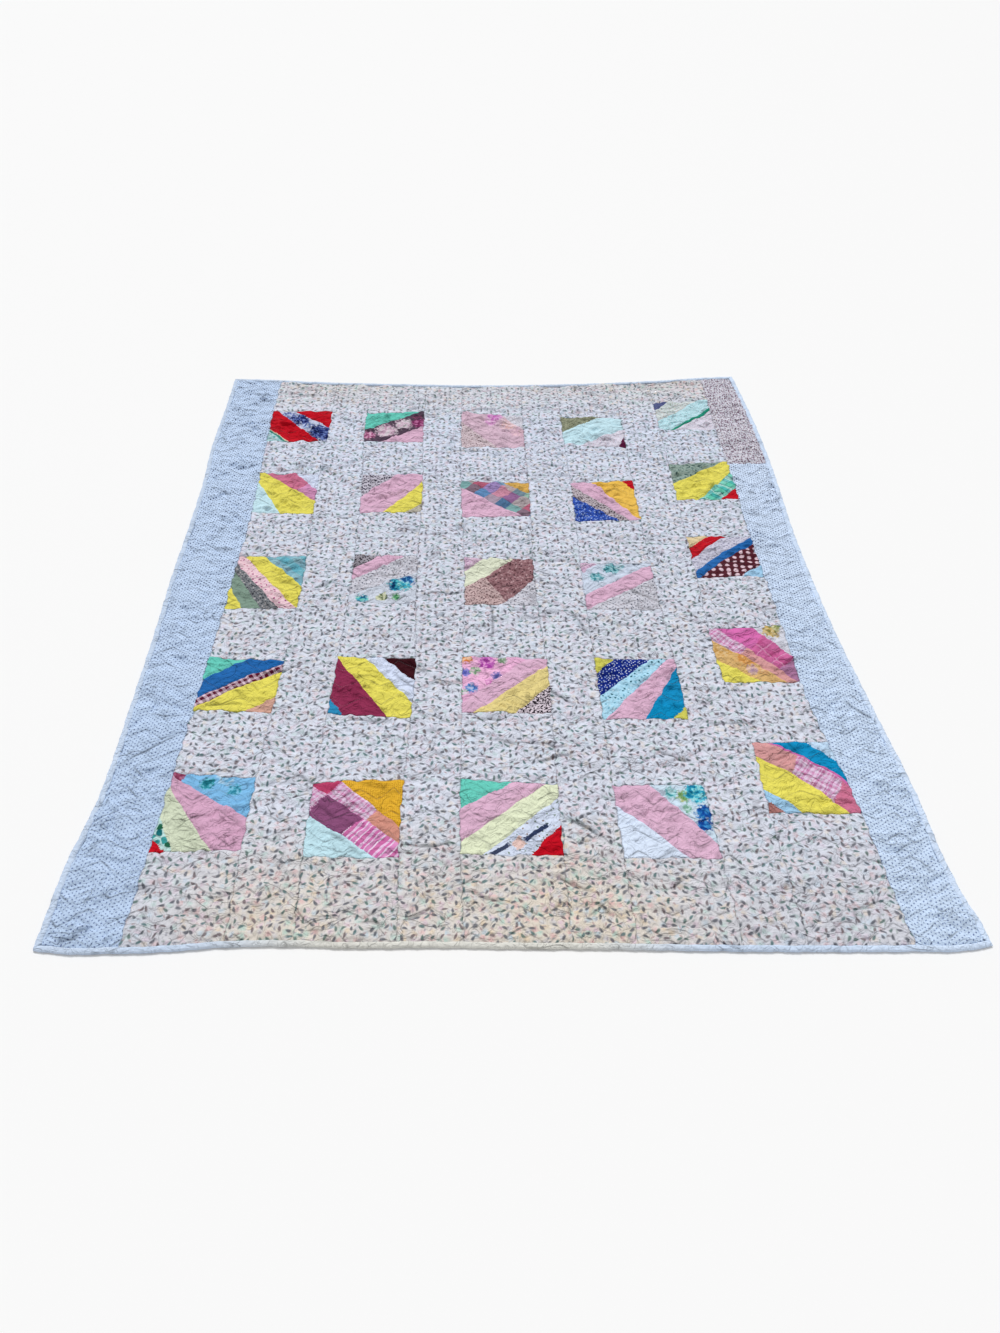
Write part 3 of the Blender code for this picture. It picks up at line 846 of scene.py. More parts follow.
def border_ground(cloth, place):
    """Pale blue, lighter down the right side as painted light, with navy pin dots that are more rubbed off at
    the near end.
    """
    xyz = axes(place)
    # the right side is lighter as painted light; toward the near end the dots are paler with wear and the
    # ground is darker
    side, wear_and_painted_light = between(xyz["X"], -0.7, 0.7), between(xyz["Y"], 0.3, -0.7)
    far_ground = mixed(side, (202, 222, 250), (210, 227, 251))
    near_ground = mixed(side, (189, 210, 238), (203, 222, 246))
    ink = mixed(wear_and_painted_light, (14, 28, 84), (116, 132, 172))
    return dotted(cloth, mixed(wear_and_painted_light, far_ground, near_ground), ink, DOT_PITCH, DOT_ROW, DOT_RADIUS)


def brown_ground(cloth, place):
    """Rosy brown, closely printed with darker and paler flecks."""
    dark = scattered(cloth, (212, 212, 224), [(116, 84, 102), (142, 118, 136)], 0.0082, 0.0066, 0.0038)
    return scattered(cloth, dark, [(234, 230, 236), (130, 106, 126)], 0.0098, 0.0052, 0.0032, 0.3)


dot_cloth = printed_look("dot_cloth", border_ground)
brown_print = printed_look("brown_print", brown_ground)

border = quilted(
    "border_left_cloth", [dot_cloth], back_cloth,
    lambda y: down(0, y) + TUCK, partial(down, 1), near_edge(0, 1), far_edge(0, 1),
    turns=[math.radians(-7)], crumple=1.25,
)
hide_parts("border_left")


def patch_line(share):
    """y of the seam between the two cloths of the right border, at a share of its width."""
    return PATCH_SEAM + 0.004 * share + wander(share * 0.12, 33)


border = quilted(
    "border_right_cloth", [dot_cloth], back_cloth,
    partial(down, 10), lambda y: down(11, y) - TUCK, near_edge(10, 11), patch_line,
    turns=[math.radians(-3)], crumple=1.25,
)
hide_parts("border_right")

border = quilted(
    "border_right_top_cloth", [brown_print], back_cloth,
    partial(down, 10), lambda y: down(11, y) - TUCK, patch_line, far_edge(10, 11),
)
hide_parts("border_right_top")

# ---------------------------------------------------------------------------
# Pieced columns. Five rows of string-pieced squares, with plain lengths of the
# sprig cloth between them. Each square is sewn up from slanting strips of
# scraps: plain cottons, ditsy and flowered prints, ginghams, plaids and dots.
# ---------------------------------------------------------------------------

SEAMS_TAKE = 0.012      # what the two seams of a plain length take up
# For each column its squares from far to near: y of the far seam at left and right, then of the near one
COLUMNS = {
    1: ((0.800, 0.802, 0.629, 0.629), (0.458, 0.455, 0.270, 0.271), (0.081, 0.081, -0.118, -0.118),
        (-0.289, -0.298, -0.449, -0.457), (-0.620, -0.635, -0.813, -0.807)),
    2: ((0.795, 0.805, 0.627, 0.627), (0.449, 0.457, 0.271, 0.271), (0.086, 0.081, -0.097, -0.101),
        (-0.286, -0.293, -0.460, -0.473), (-0.649, -0.640, -0.823, -0.827)),
    3: ((0.805, 0.775, 0.603, 0.601), (0.423, 0.417, 0.254, 0.257), (0.077, 0.069, -0.104, -0.109),
        (-0.287, -0.293, -0.458, -0.462), (-0.642, -0.654, -0.820, -0.823)),
    4: ((0.777, 0.770, 0.617, 0.606), (0.419, 0.430, 0.234, 0.239), (0.054, 0.056, -0.125, -0.122),
        (-0.293, -0.296, -0.480, -0.478), (-0.659, -0.661, -0.832, -0.834)),
    5: ((0.864, 0.884, 0.706, 0.708), (0.514, 0.531, 0.336, 0.341), (0.168, 0.168, -0.004, 0.004),
        (-0.191, -0.184, -0.371, -0.368), (-0.549, -0.546, -0.729, -0.732)),
}


def plain(colour):
    """One colour all over."""
    return lambda cloth, place: colour


def strewn(ground, motifs, spacing, length, width):
    """A small all-over print."""
    return lambda cloth, place: scattered(cloth, ground, motifs, spacing, length, width)


def posies(ground, *flowers):
    """A few large soft flowers, where they fell when the scrap was cut: x, y, size, dyes from the darkest."""

    def colours(cloth, place):
        colour = ground
        wobble = scaled(noise(place, 150.0, 2.0), 1.8, -0.9)
        shade = noise(place, 105.0, 2.0)
        for x, y, size, *dyes in flowers:
            far = vector_calc("LENGTH", vector_calc("SUBTRACT", place, (x, y, 0.005)))
            here = times(minus(1.35, plus(divided(far, size), wobble)), 2.6, clamp=True)
            stops = [(0.40 + 0.20 * i / (len(dyes) - 1), c) for i, c in enumerate(dyes)]
            colour = mixed(here, colour, ramp(shade, stops))
        return colour

    return colours


def spotted(ground, dot, pitch, radius):
    """Rows of dots."""
    return lambda cloth, place: dotted(cloth, ground, dot, pitch, pitch / 2, radius)


def woven(warp, weft, pitch, balance=0.5):
    """Stripes or checks woven in: bands along and across, as lists of (start, colour) over one repeat."""

    def colours(cloth, place):
        xyz = axes(cloth)
        bands = (
            ramp(calc("FRACT", divided(xyz[axis], pitch)), stops, "CONSTANT")
            for axis, stops in (("X", warp), ("Y", weft))
        )
        return mixed(balance, *bands)

    return colours


def blotched(ground, blotch, size):
    """Irregular blotches that nearly touch."""
    return lambda cloth, place: mixed(between(noise(cloth, 1 / size, 1.0, 0.3), 0.50, 0.54), ground, blotch)


# Plain cottons
COTTONS = {
    "pink": (220, 179, 205), "dusty_pink": (212, 167, 195), "rose_red": (206, 116, 148),
    "orchid": (212, 146, 188), "magenta": (214, 110, 176), "mauve": (172, 120, 158),
    "salmon": (212, 148, 132), "coral": (214, 156, 156), "peach": (212, 166, 150), "rust": (176, 120, 116),
    "red": (196, 14, 34), "crimson": (186, 62, 104), "burgundy": (142, 46, 82), "maroon": (58, 4, 18),
    "wine": (92, 24, 62), "plum": (138, 78, 120), "gold": (218, 174, 90), "orange": (236, 191, 86),
    "yellow": (230, 220, 98), "straw": (227, 209, 140), "pale_straw": (226, 206, 164),
    "butter": (226, 231, 208), "lime": (208, 204, 92), "pale_green": (226, 233, 202),
    "celery": (210, 219, 194), "sage": (128, 152, 138), "jade": (106, 206, 190),
    "green_edge": (58, 134, 122), "emerald": (34, 146, 122), "cream": (230, 216, 192),
    "aqua": (193, 227, 238), "pale_aqua": (201, 233, 244), "ice_blue": (216, 226, 249),
    "sky": (160, 203, 234), "pale_sky": (196, 222, 247), "teal": (0, 141, 194),
    "steel_teal": (44, 142, 190), "cobalt": (34, 104, 176), "navy": (88, 96, 142), "white": (218, 231, 251),
}
SCRAPS = {name: plain(colour) for name, colour in COTTONS.items()}
# Prints, dots and weaves
SCRAPS.update({
    "aqua_dots": strewn((194, 228, 238), [(140, 206, 210), (110, 186, 192)], 0.0095, 0.0040, 0.0024),
    "peach_print": strewn((212, 195, 202), [(134, 108, 118), (170, 144, 150)], 0.0084, 0.0058, 0.0030),
    "white_print": strewn((216, 215, 226), [(176, 172, 190), (196, 180, 190)], 0.0085, 0.0040, 0.0020),
    "pale_print": strewn((214, 223, 225), [(176, 192, 180), (204, 196, 190)], 0.0110, 0.0070, 0.0036),
    "pink_print": strewn((222, 218, 232), [(200, 176, 196), (190, 190, 214)], 0.0090, 0.0048, 0.0024),
    "orchid_print": strewn((212, 182, 206), [(180, 146, 180), (222, 206, 222)], 0.0090, 0.0058, 0.0034),
    "grey_print": strewn(
        (208, 208, 219), [(112, 114, 130), (140, 142, 154), (166, 158, 168)], 0.0096, 0.0062, 0.0030,
    ),
    "speckled": strewn((204, 200, 214), [(62, 58, 76), (86, 82, 98)], 0.0085, 0.0080, 0.0042),
    "charcoal_print": strewn(
        (128, 131, 136), [(62, 66, 74), (84, 88, 96), (184, 178, 180)], 0.0068, 0.0058, 0.0032,
    ),
    "olive_print": strewn((142, 146, 122), [(102, 106, 84), (168, 170, 146)], 0.0082, 0.0062, 0.0034),
    "taupe_print": strewn((184, 178, 164), [(128, 122, 112), (200, 196, 186)], 0.0076, 0.0056, 0.0032),
    "sage_print": strewn((148, 168, 160), [(84, 112, 108), (112, 136, 128)], 0.0120, 0.0100, 0.0050),
    "tan_print": strewn((192, 182, 190), [(78, 64, 72), (106, 90, 96)], 0.0078, 0.0062, 0.0034),
    "black_white": strewn((162, 158, 168), [(40, 36, 46), (60, 54, 64)], 0.0076, 0.0062, 0.0038),
    "rosy_tan": strewn((202, 176, 176), [(120, 92, 96), (148, 118, 120)], 0.0078, 0.0062, 0.0032),
    "mauve_print": strewn(
        (152, 112, 118), [(88, 56, 64), (118, 78, 84), (190, 156, 160)], 0.0085, 0.0066, 0.0036,
    ),
    "white_grey": strewn((206, 205, 223), [(156, 154, 180), (182, 178, 196)], 0.0100, 0.0060, 0.0036),
    "aqua_print": strewn(
        (174, 220, 242), [(56, 110, 124), (120, 176, 200), (192, 226, 242)], 0.0115, 0.0056, 0.0046,
    ),
    "leaf_print": strewn(
        (190, 224, 222), [(22, 110, 116), (60, 160, 160), (34, 100, 74)], 0.0170, 0.0180, 0.0110,
    ),
    "mint_print": strewn((176, 216, 222), [(110, 176, 180), (216, 230, 234)], 0.0110, 0.0090, 0.0046),
    "leopard": blotched((224, 211, 222), (40, 30, 42), 0.0044),
    "royal_dots": strewn((50, 88, 186), [(20, 40, 116), (158, 182, 232)], 0.0062, 0.0044, 0.0031),
    "navy_dots": strewn((14, 40, 134), [(170, 190, 232), (206, 216, 240)], 0.0070, 0.0036, 0.0026),
    "pink_dots": strewn((238, 204, 214), [(172, 84, 136), (206, 150, 170)], 0.0135, 0.0058, 0.0042),
    "maroon_dots": spotted((84, 28, 42), (232, 202, 214), 0.0275, 0.0066),
    "mustard_dots": spotted((231, 180, 54), (184, 126, 30), 0.0056, 0.0010),
    "gingham": woven(
        [(0, (84, 4, 36)), (0.56, (226, 200, 216))], [(0, (104, 24, 58)), (0.56, (226, 200, 216))], 0.0145,
    ),
    "green_plaid": woven(
        [(0, (20, 90, 96)), (0.07, (110, 214, 184)), (0.46, (30, 100, 104)), (0.53, (60, 180, 186)),
         (0.8, (200, 236, 230))],
        [(0, (90, 190, 170)), (0.45, (150, 216, 208)), (0.85, (70, 140, 132))], 0.0420,
    ),
    "teal_plaid": woven(
        [(0, (88, 168, 190)), (0.4, (134, 196, 210)), (0.8, (82, 138, 158))],
        [(0, (112, 180, 196)), (0.5, (158, 186, 198))], 0.0420,
    ),
    "madras": woven(
        [(0, (58, 84, 158)), (0.2, (150, 196, 190)), (0.4, (158, 56, 92)), (0.6, (104, 150, 226)),
         (0.8, (214, 160, 186))],
        [(0, (176, 150, 176)), (0.22, (96, 140, 150)), (0.45, (196, 120, 140)), (0.7, (150, 176, 150)),
         (0.86, (120, 130, 190))], 0.1800,
    ),
    "pink_plaid": woven(
        [(0, (190, 104, 156)), (0.20, (226, 200, 226)), (0.42, (208, 146, 186)), (0.58, (230, 210, 232)),
         (0.80, (198, 124, 168)), (0.90, (222, 194, 222))],
        [(0, (202, 128, 172)), (0.20, (220, 190, 220)), (0.50, (206, 144, 186)), (0.70, (226, 204, 228))],
        0.0270,
    ),
    "rose_plaid": woven(
        [(0, (200, 94, 150)), (0.40, (230, 172, 204)), (0.47, (202, 98, 152)), (0.84, (162, 58, 108))],
        [(0, (208, 112, 166)), (0.60, (230, 170, 202)), (0.68, (192, 90, 146))], 0.0400,
    ),
    "pink_stripes": woven(
        [(0, (206, 100, 166)), (0.16, (236, 214, 238)), (0.24, (214, 130, 186)), (0.50, (240, 226, 244)),
         (0.58, (200, 88, 156)), (0.84, (232, 200, 230))],
        [(0, (222, 150, 200)), (0.5, (228, 176, 214))], 0.0340, 0.22,
    ),
    "navy_floral": posies(
        (204, 212, 236),
        (-0.640, 0.762, 0.020, (60, 76, 140), (130, 144, 200), (190, 200, 230)),
        (-0.606, 0.742, 0.024, (24, 34, 96), (44, 62, 136), (120, 140, 200)),
        (-0.576, 0.706, 0.014, (60, 84, 160), (140, 164, 214), (196, 210, 236)),
        (-0.528, 0.668, 0.038, (20, 32, 90), (36, 56, 124), (110, 130, 190)),
    ),
    "dark_floral": posies(
        (84, 66, 84),
        (-0.337, 0.682, 0.026, (200, 160, 186), (226, 200, 216), (216, 206, 214)),
        (-0.287, 0.722, 0.024, (206, 176, 196), (228, 212, 224), (190, 186, 190)),
        (-0.240, 0.730, 0.022, (112, 38, 84), (146, 58, 110), (196, 120, 168)),
        (-0.391, 0.660, 0.018, (124, 50, 92), (196, 116, 160), (226, 180, 206)),
        (-0.246, 0.764, 0.012, (70, 50, 70), (96, 56, 84), (130, 70, 100)),
    ),
    "rose_garden": posies(
        (216, 186, 204),
        (-0.010, 0.764, 0.020, (198, 112, 188), (212, 142, 202), (222, 176, 216)),
        (-0.022, 0.735, 0.014, (214, 150, 204), (222, 170, 212), (226, 190, 218)),
        (0.036, 0.718, 0.024, (230, 188, 190), (232, 206, 208), (226, 196, 208)),
        (0.060, 0.670, 0.020, (232, 196, 206), (224, 186, 204), (214, 176, 196)),
    ),
    "teal_floral": posies(
        (204, 215, 233),
        (0.236, -0.006, 0.016, (60, 132, 146), (118, 182, 192), (176, 210, 222)),
        (0.276, 0.026, 0.017, (36, 104, 116), (90, 166, 176), (160, 206, 216)),
        (0.300, 0.038, 0.009, (120, 170, 186), (170, 204, 214), (190, 214, 226)),
        (0.340, 0.050, 0.009, (60, 66, 78), (96, 104, 118), (150, 160, 176)),
    ),
    "big_flowers": posies(
        (206, 213, 227),
        (-0.240, -0.020, 0.016, (20, 72, 132), (44, 116, 172), (130, 190, 222)),
        (-0.262, -0.040, 0.019, (18, 66, 112), (36, 146, 178), (96, 204, 210)),
        (-0.246, -0.040, 0.014, (50, 160, 190), (110, 206, 214), (170, 220, 226)),
        (-0.346, -0.088, 0.013, (24, 96, 130), (70, 170, 190), (120, 200, 180)),
        (-0.298, -0.080, 0.012, (84, 100, 70), (190, 196, 160), (214, 216, 190)),
        (-0.264, -0.084, 0.009, (44, 110, 74), (90, 160, 110), (150, 196, 150)),
    ),
    "blue_floral": posies(
        (204, 224, 240),
        (0.322, -0.682, 0.011, (60, 150, 160), (130, 200, 206), (180, 220, 226)),
        (0.347, -0.690, 0.012, (104, 150, 80), (140, 186, 130), (196, 206, 150)),
        (0.372, -0.684, 0.020, (16, 124, 164), (60, 182, 206), (150, 222, 230)),
        (0.381, -0.732, 0.015, (4, 66, 146), (10, 92, 172), (60, 140, 200)),
        (0.375, -0.762, 0.014, (4, 56, 136), (10, 86, 170), (60, 140, 200)),
        (0.350, -0.720, 0.009, (120, 170, 150), (170, 210, 200), (196, 220, 226)),
    ),
    "sky_floral": posies(
        (128, 188, 232),
        (-0.608, -0.652, 0.013, (24, 112, 128), (60, 160, 176), (120, 190, 214)),
        (-0.552, -0.668, 0.012, (44, 130, 156), (86, 170, 196), (130, 196, 226)),
        (-0.574, -0.640, 0.014, (110, 176, 216), (160, 206, 240), (176, 214, 240)),
        (-0.672, -0.634, 0.012, (130, 50, 84), (160, 76, 108), (180, 110, 140)),
    ),
    "hot_pink_floral": posies(
        (240, 184, 220),
        (-0.045, -0.310, 0.017, (166, 66, 160), (196, 104, 190), (232, 160, 214)),
        (-0.090, -0.300, 0.012, (196, 110, 60), (216, 150, 90), (232, 190, 160)),
        (-0.010, -0.303, 0.010, (110, 140, 110), (150, 176, 150), (206, 206, 206)),
        (-0.092, -0.342, 0.010, (90, 96, 180), (130, 130, 206), (200, 180, 226)),
        (-0.070, -0.336, 0.011, (110, 150, 110), (160, 186, 160), (226, 200, 214)),
        (-0.022, -0.356, 0.011, (96, 100, 170), (150, 130, 196), (226, 180, 220)),
        (-0.080, -0.390, 0.013, (60, 110, 180), (110, 150, 206), (180, 190, 226)),
        (-0.040, -0.372, 0.008, (206, 120, 190), (226, 150, 206), (236, 180, 220)),
        (-0.096, -0.402, 0.009, (100, 150, 120), (150, 180, 160), (216, 200, 216)),
    ),
    "peach_floral": posies(
        (220, 180, 118),
        (0.506, -0.268, 0.020, (196, 150, 80), (214, 172, 110), (222, 190, 140)),
        (0.556, -0.300, 0.022, (204, 140, 70), (220, 160, 90), (226, 176, 120)),
        (0.562, -0.334, 0.012, (186, 150, 176), (206, 170, 176), (222, 190, 170)),
        (0.588, -0.330, 0.016, (222, 170, 120), (226, 184, 130), (222, 190, 150)),
    ),
    "gold_sprays": posies(
        (212, 214, 226),
        (0.630, -0.208, 0.017, (126, 128, 70), (204, 170, 96), (224, 204, 150)),
        (0.645, -0.196, 0.010, (110, 130, 90), (170, 170, 110), (210, 206, 170)),
    ),
})


def barred(cloth, place):
    """White with two long navy bars, a pale pink patch, and small brown and green specks where they end."""
    specks = [(206, 214, 236), (150, 130, 120), (120, 140, 120)]
    colour = scattered(cloth, (212, 222, 242), specks, 0.0115, 0.0046, 0.0030)
    wobble = scaled(noise(place, 260.0, 1.0), 0.9, -0.45)
    for x, y, turn, length, width, ink in (
        (0.012, -0.799, 40, 0.022, 0.022, (232, 200, 192)),
        (-0.024, -0.812, 33, 0.042, 0.0090, (62, 72, 100)),
        (0.047, -0.774, 39, 0.060, 0.0095, (50, 62, 96)),
    ):
        xyz = axes(turned(vector_calc("SUBTRACT", place, (x, y, 0.0)), math.radians(-turn)))
        along = divided(calc("ABSOLUTE", xyz["X"]), length / 2)
        aside = divided(calc("ABSOLUTE", xyz["Y"]), width / 2)
        far = plus(calc("MAXIMUM", along, aside), wobble)
        colour = mixed(times(minus(1.1, far), 5.0, clamp=True), colour, ink)
    return colour


SCRAPS["barred"] = barred
scrap_cloths = {}


def scrap(name):
    """A scrap's material, made the first time it is wanted."""
    if name == "sprig":
        return sprig_cloth
    if name not in scrap_cloths:
        scrap_cloths[name] = printed_look(name, SCRAPS[name], folded=1.2)
    return scrap_cloths[name]


# Each square: the corner its piecing starts from, then its strips with the seam after each (u, v of both
# ends, as shares of the square from its near left corner). A strip joined from several scraps lists them
# with the cross seams between them.
NEAR_LEFT, FAR_LEFT = (0, 0), (0, 1)
SQUARES = {
    (1, 1): (NEAR_LEFT, "mint_print", (0, .34, .29, 0), "green_edge", (0, .40, .35, 0), "cream",
             (0, .425, .375, 0), "red", (.09, 1, .88, 0), "navy_floral", (.37, 1, 1, .47), "red"),
    (1, 2): (FAR_LEFT, "jade", (0, .42, .92, 1), "dark_floral", (.23, 0, 1, .53), "pink"),
    (1, 3): (NEAR_LEFT, "peach_print", (0, .72, .58, 0), "rose_garden", (.66, 1, 1, .56), "white_print"),
    (1, 4): (FAR_LEFT, "olive_print", (0, .46, .62, 1), "pale_aqua", (.22, 0, 1, .60), "pink_print",
             (.88, 0, 1, .38), "wine"),
    (1, 5): (FAR_LEFT, "navy", (0, .70, .27, 1), "pale_print", (0, .28, .80, 1), "aqua_dots",
             (.19, 0, 1, .715), "emerald", (.27, 0, 1, .615), "pink_print"),
    (2, 1): (NEAR_LEFT, "pale_aqua", (0, .78, .46, 0), "yellow", (.12, 1, 1, .31),
             ("rose_red", (.71, .62, .83, .78), "orchid"), (.62, 1, 1, .58), "ice_blue"),
    (2, 2): (FAR_LEFT, "speckled", (0, .45, .54, 1), "pink", (.37, 0, 1, .83), "yellow", (.74, 0, 1, .24),
             "taupe_print"),
    (2, 3): (NEAR_LEFT, "pink", (0, .82, .90, 0), "madras", (.63, 1, 1, .68), "gold"),
    (2, 4): (NEAR_LEFT, "royal_dots", (0, .63, .68, 0), "tan_print", (0, .95, .84, 0), "pink",
             (.34, 1, 1, 0), "orange", (.82, 1, 1, .77), "red"),
    (2, 5): (FAR_LEFT, "sage_print", (0, .47, .90, 1), "yellow", (.35, 0, 1, .72), "green_plaid",
             (.70, 0, 1, .29), "red"),
    (3, 1): (NEAR_LEFT, "yellow", (0, .41, .24, 0), "sage", (0, .71, .50, 0), "charcoal_print",
             (0, .87, .76, 0), "pink_dots", (.10, 1, 1, 0), "yellow", (.39, 1, 1, .43), "teal_plaid"),
    (3, 2): (FAR_LEFT, "black_white", (0, .70, .36, 1), "pink", (0, .48, .80, 1), "grey_print",
             (0, .16, 1, .68), "big_flowers", (.90, 0, 1, .10), "grey_print"),
    (3, 3): (FAR_LEFT, "orchid_print", (0, .72, .27, 1), "butter", (0, .38, .72, 1),
             ("rosy_tan", (.32, .52, .56, .10), "mauve_print"), (.50, 0, 1, .60), "grey_print"),
    (3, 4): (FAR_LEFT, "orchid_print", (0, .80, .25, 1), "teal_floral", (0, .32, 1, .97), "pink",
             (0, .02, 1, .67), "grey_print"),
    (3, 5): (FAR_LEFT, "pale_straw", (0, .72, .34, 1), "red", (0, .45, .61, 1), "white_grey",
             (0, .14, 1, .99), "cobalt", (.03, 0, 1, .81), "maroon_dots", (.66, 0, 1, .28), "sky"),
    (4, 1): (FAR_LEFT, "jade", (0, .57, .50, 1), "cobalt", (0, .235, 1, .955), "gingham", (0, .06, 1, .785),
             "yellow", (.64, 0, 1, .30), "peach"),
    (4, 2): (NEAR_LEFT, "steel_teal", (0, .25, .18, 0), "burgundy", (0, .98, .72, 0), "yellow",
             (.35, 1, 1, .24), "ice_blue", (.60, 1, 1, .62), "maroon"),
    (4, 3): (FAR_LEFT, "hot_pink_floral", (0, .18, .76, 1), "pink", (.12, 0, 1, .88), "straw",
             (.60, 0, 1, .50), "leopard"),
    (4, 4): (FAR_LEFT, "lime", (0, .74, .24, 1), "navy_dots", (0, .37, .69, 1), "aqua_print",
             (.03, 0, .90, 1), "pink", (.50, 0, 1, .85), "teal", (.82, 0, 1, .20), "lime"),
    (4, 5): (NEAR_LEFT, "yellow", (0, .44, .52, 0), "peach_floral", (0, .80, .84, 0),
             ("pink_plaid", (.34, .50, .48, .66), "coral"), (.12, 1, .98, 0),
             ("magenta", (.50, .60, .66, .78), "rose_plaid", (.80, .24, .98, .38), "mauve"),
             (.60, 1, 1, .44), "gold_sprays"),
    (5, 1): (NEAR_LEFT, "red", (0, .15, .18, 0), "leaf_print", (0, .44, .25, 0), "celery", (0, .83, .68, 0),
             "dusty_pink", (0, .97, 1, .44), "sky_floral"),
    (5, 2): (NEAR_LEFT, "aqua", (0, .56, .76, 0),
             ("pink_plaid", (0, .62, .17, .84), "plum", (.38, .29, .60, .50), "pink_stripes"),
             (0, .97, 1, .17),
             ("crimson", (.14, .82, .30, .98), "pink_plaid", (.64, .48, .74, .60), "salmon"),
             (.30, 1, 1, .37), "mustard_dots"),
    (5, 3): (FAR_LEFT, "jade", (0, .60, .54, 1), "pink", (0, .16, .88, 1), "pale_green", (.21, 0, 1, .79),
             "barred", (.69, 0, 1, .42), "red"),
    (5, 4): (NEAR_LEFT, "white", (0, .715, .67, 0), "pink", (.40, 1, 1, .20), "blue_floral"),
    (5, 5): (NEAR_LEFT, "rust", (0, .16, .18, 0), "sky", (0, .34, .37, 0), "yellow", (0, .82, .88, 0),
             ("coral", (.34, .50, .48, .74), "pink_plaid", (.76, .16, .92, .40), "rose_red"),
             (.22, 1, 1, .37), "magenta", (.27, 1, 1, .42), "teal", (.72, 1, 1, .72), "pale_sky"),
}
# The squares that the quilting pulled out of shape, and how far across and along
BOWED = {
    (3, 3): (0.02, -0.03), (3, 5): (-0.03, 0.035), (4, 1): (-0.02, 0.02), (5, 4): (0.02, 0.02),
    (5, 5): (0.05, 0.06),
}


def seam_across(column, square, far):
    """The y of a square's near or far seam, at a share of its width."""
    row = COLUMNS[column][square - 1]
    a, b = row[:2] if far else row[2:]
    drawn = 0.0040 * (a + 1.82)
    return lambda share: a + (b - a) * share - drawn + wander(share * 0.18 + 0.3 * column, 5 * square + far)


for column in range(1, 6):
    k = 2 * column - 1
    left, right = partial(down, k), partial(down, k + 1)
    lines = [far_edge(k, k + 1)]
    for square in range(1, 6):
        lines += [seam_across(column, square, True), seam_across(column, square, False)]
    lines.append(near_edge(k, k + 1))
    for i in range(6):
        far, near = lines[2 * i : 2 * i + 2]
        spacer = quilted(f"plain_{column}_{i + 1}", [sprig_cloth], back_cloth, left, right, near, far)
        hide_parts(f"column_{column}")
        round(float(far(0.5) - near(0.5)) + SEAMS_TAKE, 3)
    for square in range(1, 6):
        first, *strips = SQUARES[square, column]
        seams = strips[1::2]
        cloths, cuts, turns = [], [], []
        for place, strip in enumerate(strips[::2]):
            parts = strip if isinstance(strip, tuple) else (strip,)
            cuts += [(place, line) for line in parts[1::2]]
            nearest = seams[min(place, len(seams) - 1)]
            turns += [math.atan2(nearest[3] - nearest[1], nearest[2] - nearest[0])] * len(parts[::2])
            cloths += [scrap(part) for part in parts[::2]]
        patchwork = quilted(
            f"square_{column}_{square}", cloths, back_cloth, left, right,
            lines[2 * square], lines[2 * square - 1],
            seams, first, cuts, turns, BOWED.get((square, column), (0, 0)), crumple=1.55,
        )
        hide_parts(f"column_{column}")

# ---------------------------------------------------------------------------
# Binding. Bias strips of plain pale blue cotton, folded round all four raw
# edges and stitched through, so that each edge is a soft roll. They meet at
# mitred corners, and small slanting pulls run round the roll.
# ---------------------------------------------------------------------------

BINDING_FLAT = 0.033      # width of a strip before it is folded
BINDING_STEP = 0.0045     # its mesh's cells along the edge
BINDING_CLOTH = 0.0005    # thickness of its cloth
# The folded strip in section, from its seam on the face, round the edge, to the back: distance in, height.
# It stands up in a round roll along the near end, and is flatter on the other edges.
ROLL = (
    (0.0110, 0.0020), (0.0101, 0.0048), (0.0076, 0.0067), (0.0042, 0.0069), (0.0013, 0.0058),
    (0.0001, 0.0034), (0.0008, 0.0016), (0.0046, 0.0010), (0.0112, 0.0009),
)
FLAT = (
    (0.0124, 0.0022), (0.0112, 0.0042), (0.0082, 0.0055), (0.0048, 0.0056), (0.0019, 0.0048),
    (0.0003, 0.0033), (0.0012, 0.0016), (0.0046, 0.0010), (0.0112, 0.0009),
)


